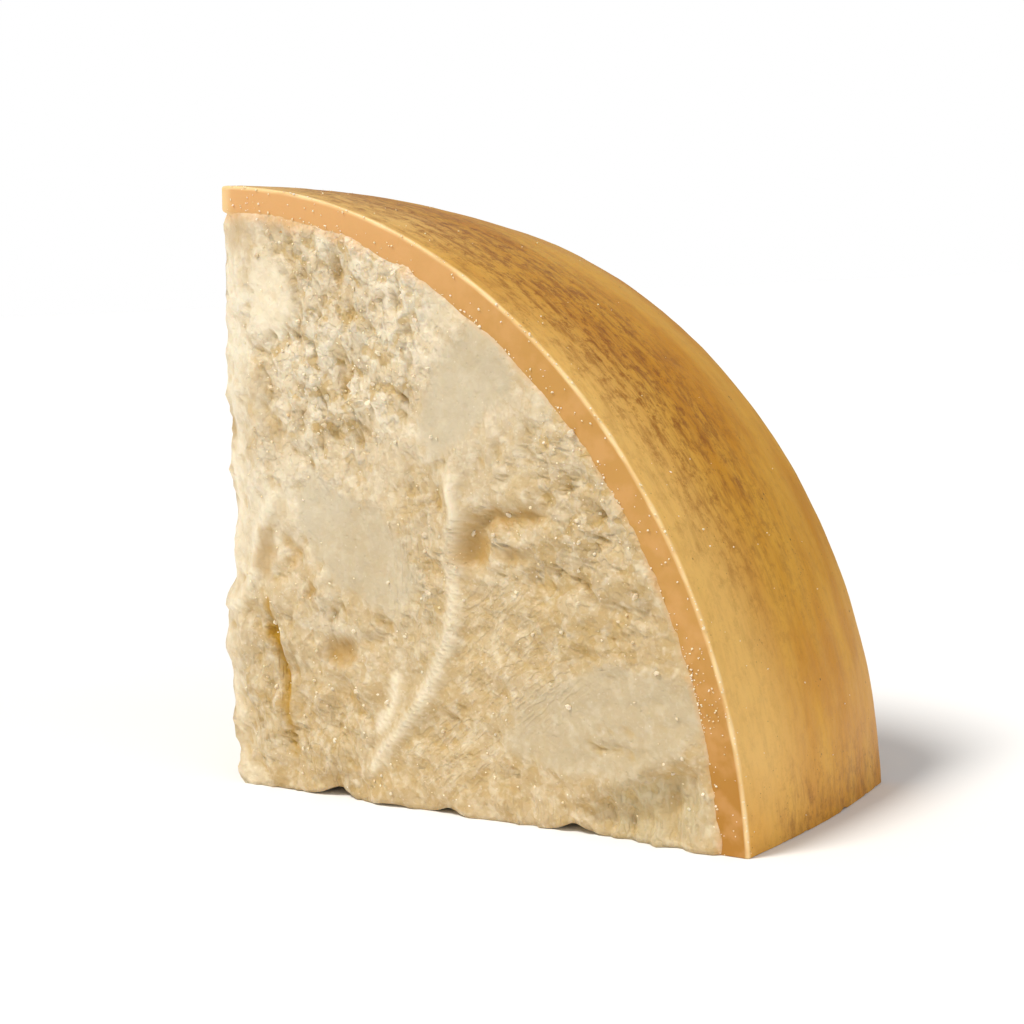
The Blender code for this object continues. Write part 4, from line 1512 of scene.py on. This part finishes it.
        # The barrel side is not quite even, and its lower edge is chipped.
        dents = rough_noise(around, 34.0, 601) * 0.35 + rough_noise(around, 7.0, 611) * 0.08
        dents = dents * smooth_step(0.0, 8.0, w * wheel.half_height)
        x = x + np.where(on_side, dents * np.cos(angle), 0.0)
        z = z + np.where(on_side, dents * np.sin(angle), 0.0) * smooth_step(0.0, 0.02, a)
        chips = np.maximum(rough_noise(np.stack([y, y * 0.0, y * 0.0], axis=1), 16.0, 641) - 0.15, 0.0) * 3.2
        chips = chips * smooth_step(4.0, 14.0, y) * (1.0 - smooth_step(0.0, 12.0, from_side))
        z = z + chips * np.clip(1.0 - z / 9.0, 0.0, 1.0)

        places = np.stack([x, y, z], axis=1)
        from_edge = np.where(on_front, from_side, np.where(on_side, w * wheel.half_height, 99.0))
        wobble = rough_noise(around, 9.0, 621) * 0.5
        patchy = 0.55 + 0.45 * smooth_step(-0.3, 0.3, rough_noise(around, 22.0, 651))
        pale_end = (1.0 - smooth_step(2.5, 7.5, from_left)) * (on_front | on_side | on_left)
        return places, {
            "around": angle * wheel.radius,
            "across": np.where(on_side, y, y + from_side),
            "band": (on_front | on_base | on_left) * smooth_step(0.2, 0.8, from_side),
            # A pale edge: partly dry whitish rind, partly a painted highlight on the rounded edge.
            "edge": np.maximum((1.0 - smooth_step(0.5, 1.5, from_edge + wobble)) * patchy, pale_end * 0.8),
            # A painted highlight along the front edge of the barrel side.
            "light": self.painted_sheen_share(w, a),
            "worn": self.worn_share(w, a) * on_side + 0.15,
        }

    def fall(self, past: Array) -> Array:
        """How far a face of the rind lies under its own plane, by the distance past its band."""
        slight = self.sink * smooth_step(0.0, self.under_paste, past)
        return slight + self.floor_depth * smooth_step(self.under_paste, self.under_paste + 3.0, past)

    def painted_sheen_share(self, w: Array, a: Array) -> Array:
        """Where the barrel side gets a painted highlight: along the front edge, most of all near the base."""
        by_front = 1.0 - smooth_step(0.08, 0.52, w + 0.25 * (a - 0.2))
        by_front = by_front * (1.0 - 0.75 * smooth_step(0.45, 0.75, a))
        by_front = by_front * (0.4 + 0.6 * smooth_step(0.01, 0.1, a))
        return np.maximum(by_front, smooth_step(0.62, 0.8, a) * (1.0 - smooth_step(0.12, 0.4, w)))

    def worn_share(self, w: Array, a: Array) -> Array:
        """Where the barrel side is browned by handling: an upper middle belt."""
        belt = 1.0 - smooth_step(0.06, 0.42, np.abs(w - 0.34 + 0.2 * (a - 0.6)))
        by_base = (1.0 - smooth_step(0.01, 0.09, a)) * smooth_step(0.1, 0.3, w)
        return belt * smooth_step(0.1, 0.55, a) * (1.0 - smooth_step(0.9, 1.02, a)) + 0.5 * by_base


class Ground(Enum):
    """What a loose crumb lies on."""

    PASTE = "paste"
    BAND = "band"
    EDGE = "edge"
    SIDE = "side"


@dataclass(frozen=True)
class Scatter:
    """One helping of loose crumbs.

    sizes are the least and greatest widths in millimetres, angles in degrees from the base, and
    sunk is the share of a crumb's half width that is pressed into its ground.
    """

    ground: Ground
    count: int
    sizes: Pair
    angles: Pair = (0.0, 86.0)
    sunk: float = 0.4


@dataclass(frozen=True)
class Crumbs:
    """Loose crumbs and broken nuggets that lie on the paste and by the rind."""

    wheel: Wheel
    relief: FrontRelief
    name: str
    seed: int
    facets: int
    scatters: tuple[Scatter, ...]

    def build(self, finish: bpy.types.Material) -> bpy.types.Object:
        """Builds the piece.

        Args:
            finish: The crumbs' material.

        Returns:
            One object that holds every crumb.
        """
        deselect_all()
        bpy.ops.mesh.primitive_ico_sphere_add(subdivisions=self.facets, radius=1.0)
        piece = bpy.context.object
        piece.name = self.name
        ball = vertex_places(piece.data)
        faces = np.empty(len(piece.data.polygons) * 3, dtype=np.int32)
        piece.data.polygons.foreach_get("vertices", faces)
        faces = faces.reshape(-1, 3)
        draw = np.random.default_rng(self.seed)
        grounds = [self.placed(scatter, draw) for scatter in self.scatters]
        centres = np.concatenate([centre for centre, _ in grounds])
        sizes = np.concatenate([size for _, size in grounds])
        shapes = self.crumb_shapes(ball, len(centres), draw) * (sizes / 2.0)[:, None, None]
        places = (shapes + centres[:, None, :]).reshape(-1, 3)
        every_face = (faces[None, :, :] + (np.arange(len(centres)) * len(ball))[:, None, None]).reshape(-1, 3)
        mesh = bpy.data.meshes.new(self.name)
        mesh.from_pydata(self.wheel.to_row(places).tolist(), [], every_face.tolist())
        piece.data = mesh
        mesh.materials.append(finish)
        mesh.update()
        return piece

    def crumb_shapes(self, ball: Array, count: int, draw: np.random.Generator) -> Array:
        """Makes count uneven crumbs of half width 1 from one faceted ball.

        Args:
            ball: The ball's points.
            count: How many crumbs to make.
            draw: The source of random numbers.

        Returns:
            Points by crumb, by corner, by axis.
        """
        dents = 1.0 + draw.uniform(-0.28, 0.28, (count, len(ball), 1))
        stretch = draw.uniform(0.6, 1.15, (count, 1, 3))
        spin, _ = np.linalg.qr(draw.normal(size=(count, 3, 3)))
        spin[:, :, 0] *= np.sign(np.linalg.det(spin))[:, None]
        return np.einsum("nij,nkj->nki", spin, ball[None] * dents * stretch)

    def placed(self, scatter: Scatter, draw: np.random.Generator) -> tuple[Array, Array]:
        """Draws where one helping of crumbs lies.

        Args:
            scatter: The helping.
            draw: The source of random numbers.

        Returns:
            The crumbs' centres in the wheel's frame and their widths.
        """
        wheel, count = self.wheel, scatter.count
        low, high = scatter.sizes
        sizes = low + (high - low) * draw.uniform(0.0, 1.0, count) ** 2.2
        angle = np.radians(draw.uniform(*scatter.angles, count))
        share = angle / wheel.wedge
        band = wheel.band_width(share)
        lift = sizes * 0.5 * (1.0 - scatter.sunk)
        if scatter.ground is Ground.PASTE:
            centres = self.on_paste(count, lift, draw)
            return centres, sizes[:len(centres)]
        if scatter.ground is Ground.BAND:
            radius = wheel.radius - band * (1.0 - draw.uniform(0.0, 1.0, count) ** 2.6 * 0.9)
            x, z = radius * np.cos(angle), radius * np.sin(angle)
            return np.stack([x, wheel.front_plane(z) - lift, z], axis=1), sizes
        if scatter.ground is Ground.EDGE:
            turn = draw.uniform(0.1, 1.2, count)
            radius = wheel.radius - 0.4 + (0.3 + lift) * np.sin(turn)
            x, z = radius * np.cos(angle), radius * np.sin(angle)
            return np.stack([x, wheel.front_plane(z) + 0.4 - (0.3 + lift) * np.cos(turn), z], axis=1), sizes
        y = draw.uniform(0.0, 1.0, count) ** 1.8 * 90.0 + 1.0
        radius = wheel.barrel_radius(y) + lift
        return np.stack([radius * np.cos(angle), y, radius * np.sin(angle)], axis=1), sizes

    def on_paste(self, count: int, lift: Array, draw: np.random.Generator) -> Array:
        """Draws places on the broken face, more of them where it crumbled most.

        Args:
            count: How many to draw.
            lift: How far each centre stands off the face.
            draw: The source of random numbers.

        Returns:
            The crumbs' centres in the wheel's frame.
        """
        tries = count * 14
        angle = draw.uniform(0.02, 0.985, tries) * self.wheel.wedge
        inner = self.wheel.radius - self.wheel.band_width(angle / self.wheel.wedge) - 0.6
        radius = np.sqrt(draw.uniform(0.0, 1.0, tries)) * inner
        x, z = radius * np.cos(angle), radius * np.sin(angle)
        slab = self.relief.slab_share(x, z)
        wanted = (0.12 + self.relief.crumble_strength(x, z) ** 1.5) * (1.0 - 0.65 * slab) / 1.9
        kept = np.flatnonzero((draw.uniform(0.0, 1.0, tries) < wanted) & (z > 2.0))[:count]
        x, z, inner, radius = x[kept], z[kept], inner[kept], radius[kept]
        x = np.maximum(x, self.relief.left_edge(z) + 2.5)
        level = self.relief.level(x, z, inner + 0.6 - radius)
        lift = lift[:len(kept)]
        return np.stack([x, self.wheel.front_plane(z) - level - lift, z], axis=1)


# ---------------------------------------------------------------------------------------------
# Studio
# ---------------------------------------------------------------------------------------------


@dataclass(frozen=True)
class SoftSun:
    """A broad, even studio light: where it comes from, how wide it looks and how strong it is."""

    name: str
    comes_from: tuple[float, float, float]
    width_deg: float
    strength: float
    tint: str = "#FFFFFF"

    def build(self) -> None:
        """Adds the light to the scene."""
        data = bpy.data.lights.new(self.name, "SUN")
        data.angle = math.radians(self.width_deg)
        data.energy = self.strength
        data.color = colour(self.tint)[:3]
        lamp = bpy.data.objects.new(self.name, data)
        bpy.context.scene.collection.objects.link(lamp)
        lamp.location = Vector(self.comes_from)
        lamp.rotation_euler = (-Vector(self.comes_from)).to_track_quat("-Z", "Y").to_euler()


@dataclass(frozen=True)
class Studio:
    """A pale floor, soft lights and the camera. Angles are degrees and places millimetres."""

    wheel: Wheel
    camera_place: tuple[float, float, float] = (573.5, -562.1, 183.4)
    heading_deg: float = -38.1
    dip_deg: float = 6.205
    roll_deg: float = -2.55
    lens: float = 76.56
    sensor: float = 36.0
    floor_colour: str = "#FAFAFA"
    sky_strength: float = 0.35
    lights: tuple[SoftSun, ...] = (
        SoftSun("key_light", (-0.28, -0.46, 0.84), 18.0, 2.6, "#FFFCF6"),
        SoftSun("fill_light", (0.90, -0.38, 0.30), 70.0, 1.1),
    )

    def build(self) -> None:
        """Adds the floor, the sky, the lights and the camera."""
        self.add_floor()
        self.add_sky()
        for light in self.lights:
            light.build()
        self.add_camera()
        bpy.context.scene.view_settings.view_transform = "Standard"

    def add_floor(self) -> None:
        """Adds a large pale floor under the chunk."""
        deselect_all()
        bpy.ops.mesh.primitive_plane_add(size=40.0, location=(0.0, 0.0, -0.0002))
        floor = bpy.context.object
        floor.name = "floor"
        material = bpy.data.materials.new("pale_floor")
        material.use_nodes = True
        shader = material.node_tree.nodes["Principled BSDF"]
        shader.inputs["Base Color"].default_value = colour(self.floor_colour)
        shader.inputs["Roughness"].default_value = 0.9
        floor.data.materials.append(material)
        floor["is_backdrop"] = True

    def add_sky(self) -> None:
        """Adds an even sky that looks white behind the chunk and lights it softly."""
        world = bpy.data.worlds.new("studio_sky")
        world.use_nodes = True
        tree = world.node_tree
        soft = tree.nodes["Background"]
        soft.inputs["Color"].default_value = (1.0, 1.0, 1.0, 1.0)
        soft.inputs["Strength"].default_value = self.sky_strength
        seen = add_node(tree, "ShaderNodeBackground", {}, {"Color": (1.0, 1.0, 1.0, 1.0), "Strength": 1.0})
        path = add_node(tree, "ShaderNodeLightPath")
        both = add_node(tree, "ShaderNodeMixShader", {}, {0: path.outputs["Is Camera Ray"],
                                                         1: soft.outputs["Background"],
                                                         2: seen.outputs["Background"]})
        tree.links.new(both.outputs["Shader"], tree.nodes["World Output"].inputs["Surface"])
        bpy.context.scene.world = world

    def add_camera(self) -> None:
        """Adds the camera and makes it the scene's."""
        yaw, dip, roll = (math.radians(value) for value in (self.heading_deg, self.dip_deg, self.roll_deg))
        ahead = Vector((math.sin(yaw) * math.cos(dip), math.cos(yaw) * math.cos(dip), -math.sin(dip)))
        right = Vector((math.cos(yaw), -math.sin(yaw), 0.0))
        above = right.cross(ahead)
        turned_right = right * math.cos(roll) + above * math.sin(roll)
        turned_up = above * math.cos(roll) - right * math.sin(roll)
        data = bpy.data.cameras.new("camera")
        data.lens = self.lens
        data.sensor_width = self.sensor
        data.clip_end = 20.0
        camera = bpy.data.objects.new("camera", data)
        bpy.context.scene.collection.objects.link(camera)
        turn = Matrix((turned_right, turned_up, -ahead)).transposed().to_4x4()
        place = self.wheel.to_row(np.array([self.camera_place]))[0]
        camera.matrix_world = Matrix.Translation(Vector(place)) @ turn
        bpy.context.scene.camera = camera


def main() -> None:
    """Builds every piece around the CAD frame and reports it."""
    logging.basicConfig(level=logging.INFO, format="%(name)s: %(message)s")
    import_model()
    wheel = Wheel.from_frame()
    Studio(wheel).build()

    relief = FrontRelief(wheel)
    core = PasteCore(wheel, relief)
    paste = PasteFinish().make()
    crumb = CrumbFinish().make()
    grains = Crumbs(wheel, relief, "loose_grains", 71, 1, (
        Scatter(Ground.PASTE, 480, (0.45, 1.2)),
        Scatter(Ground.BAND, 70, (0.35, 0.9), (10.0, 18.0)),
        Scatter(Ground.BAND, 190, (0.35, 1.0)),
        Scatter(Ground.EDGE, 110, (0.35, 1.1)),
        Scatter(Ground.SIDE, 70, (0.3, 0.8)),
    ))
    chunks = Crumbs(wheel, relief, "broken_nuggets", 72, 2, (
        Scatter(Ground.PASTE, 110, (1.2, 2.6), sunk=0.85),
    ))
    pieces = {
        core.build_front(paste): "paste",
        core.build_body(paste): "paste",
        grains.build(crumb): "paste",
        chunks.build(paste): "paste",
        Rind(wheel).build(RindFinish().make()): "rind",
    }
    for piece, slot in pieces.items():
        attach(piece, "root")
        piece.data.calc_loop_triangles()
        LOG.info("%s: %d triangles", piece.name, len(piece.data.loop_triangles))
    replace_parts(next(iter(pieces)), "cheese")


if __name__ == "__main__":
    main()
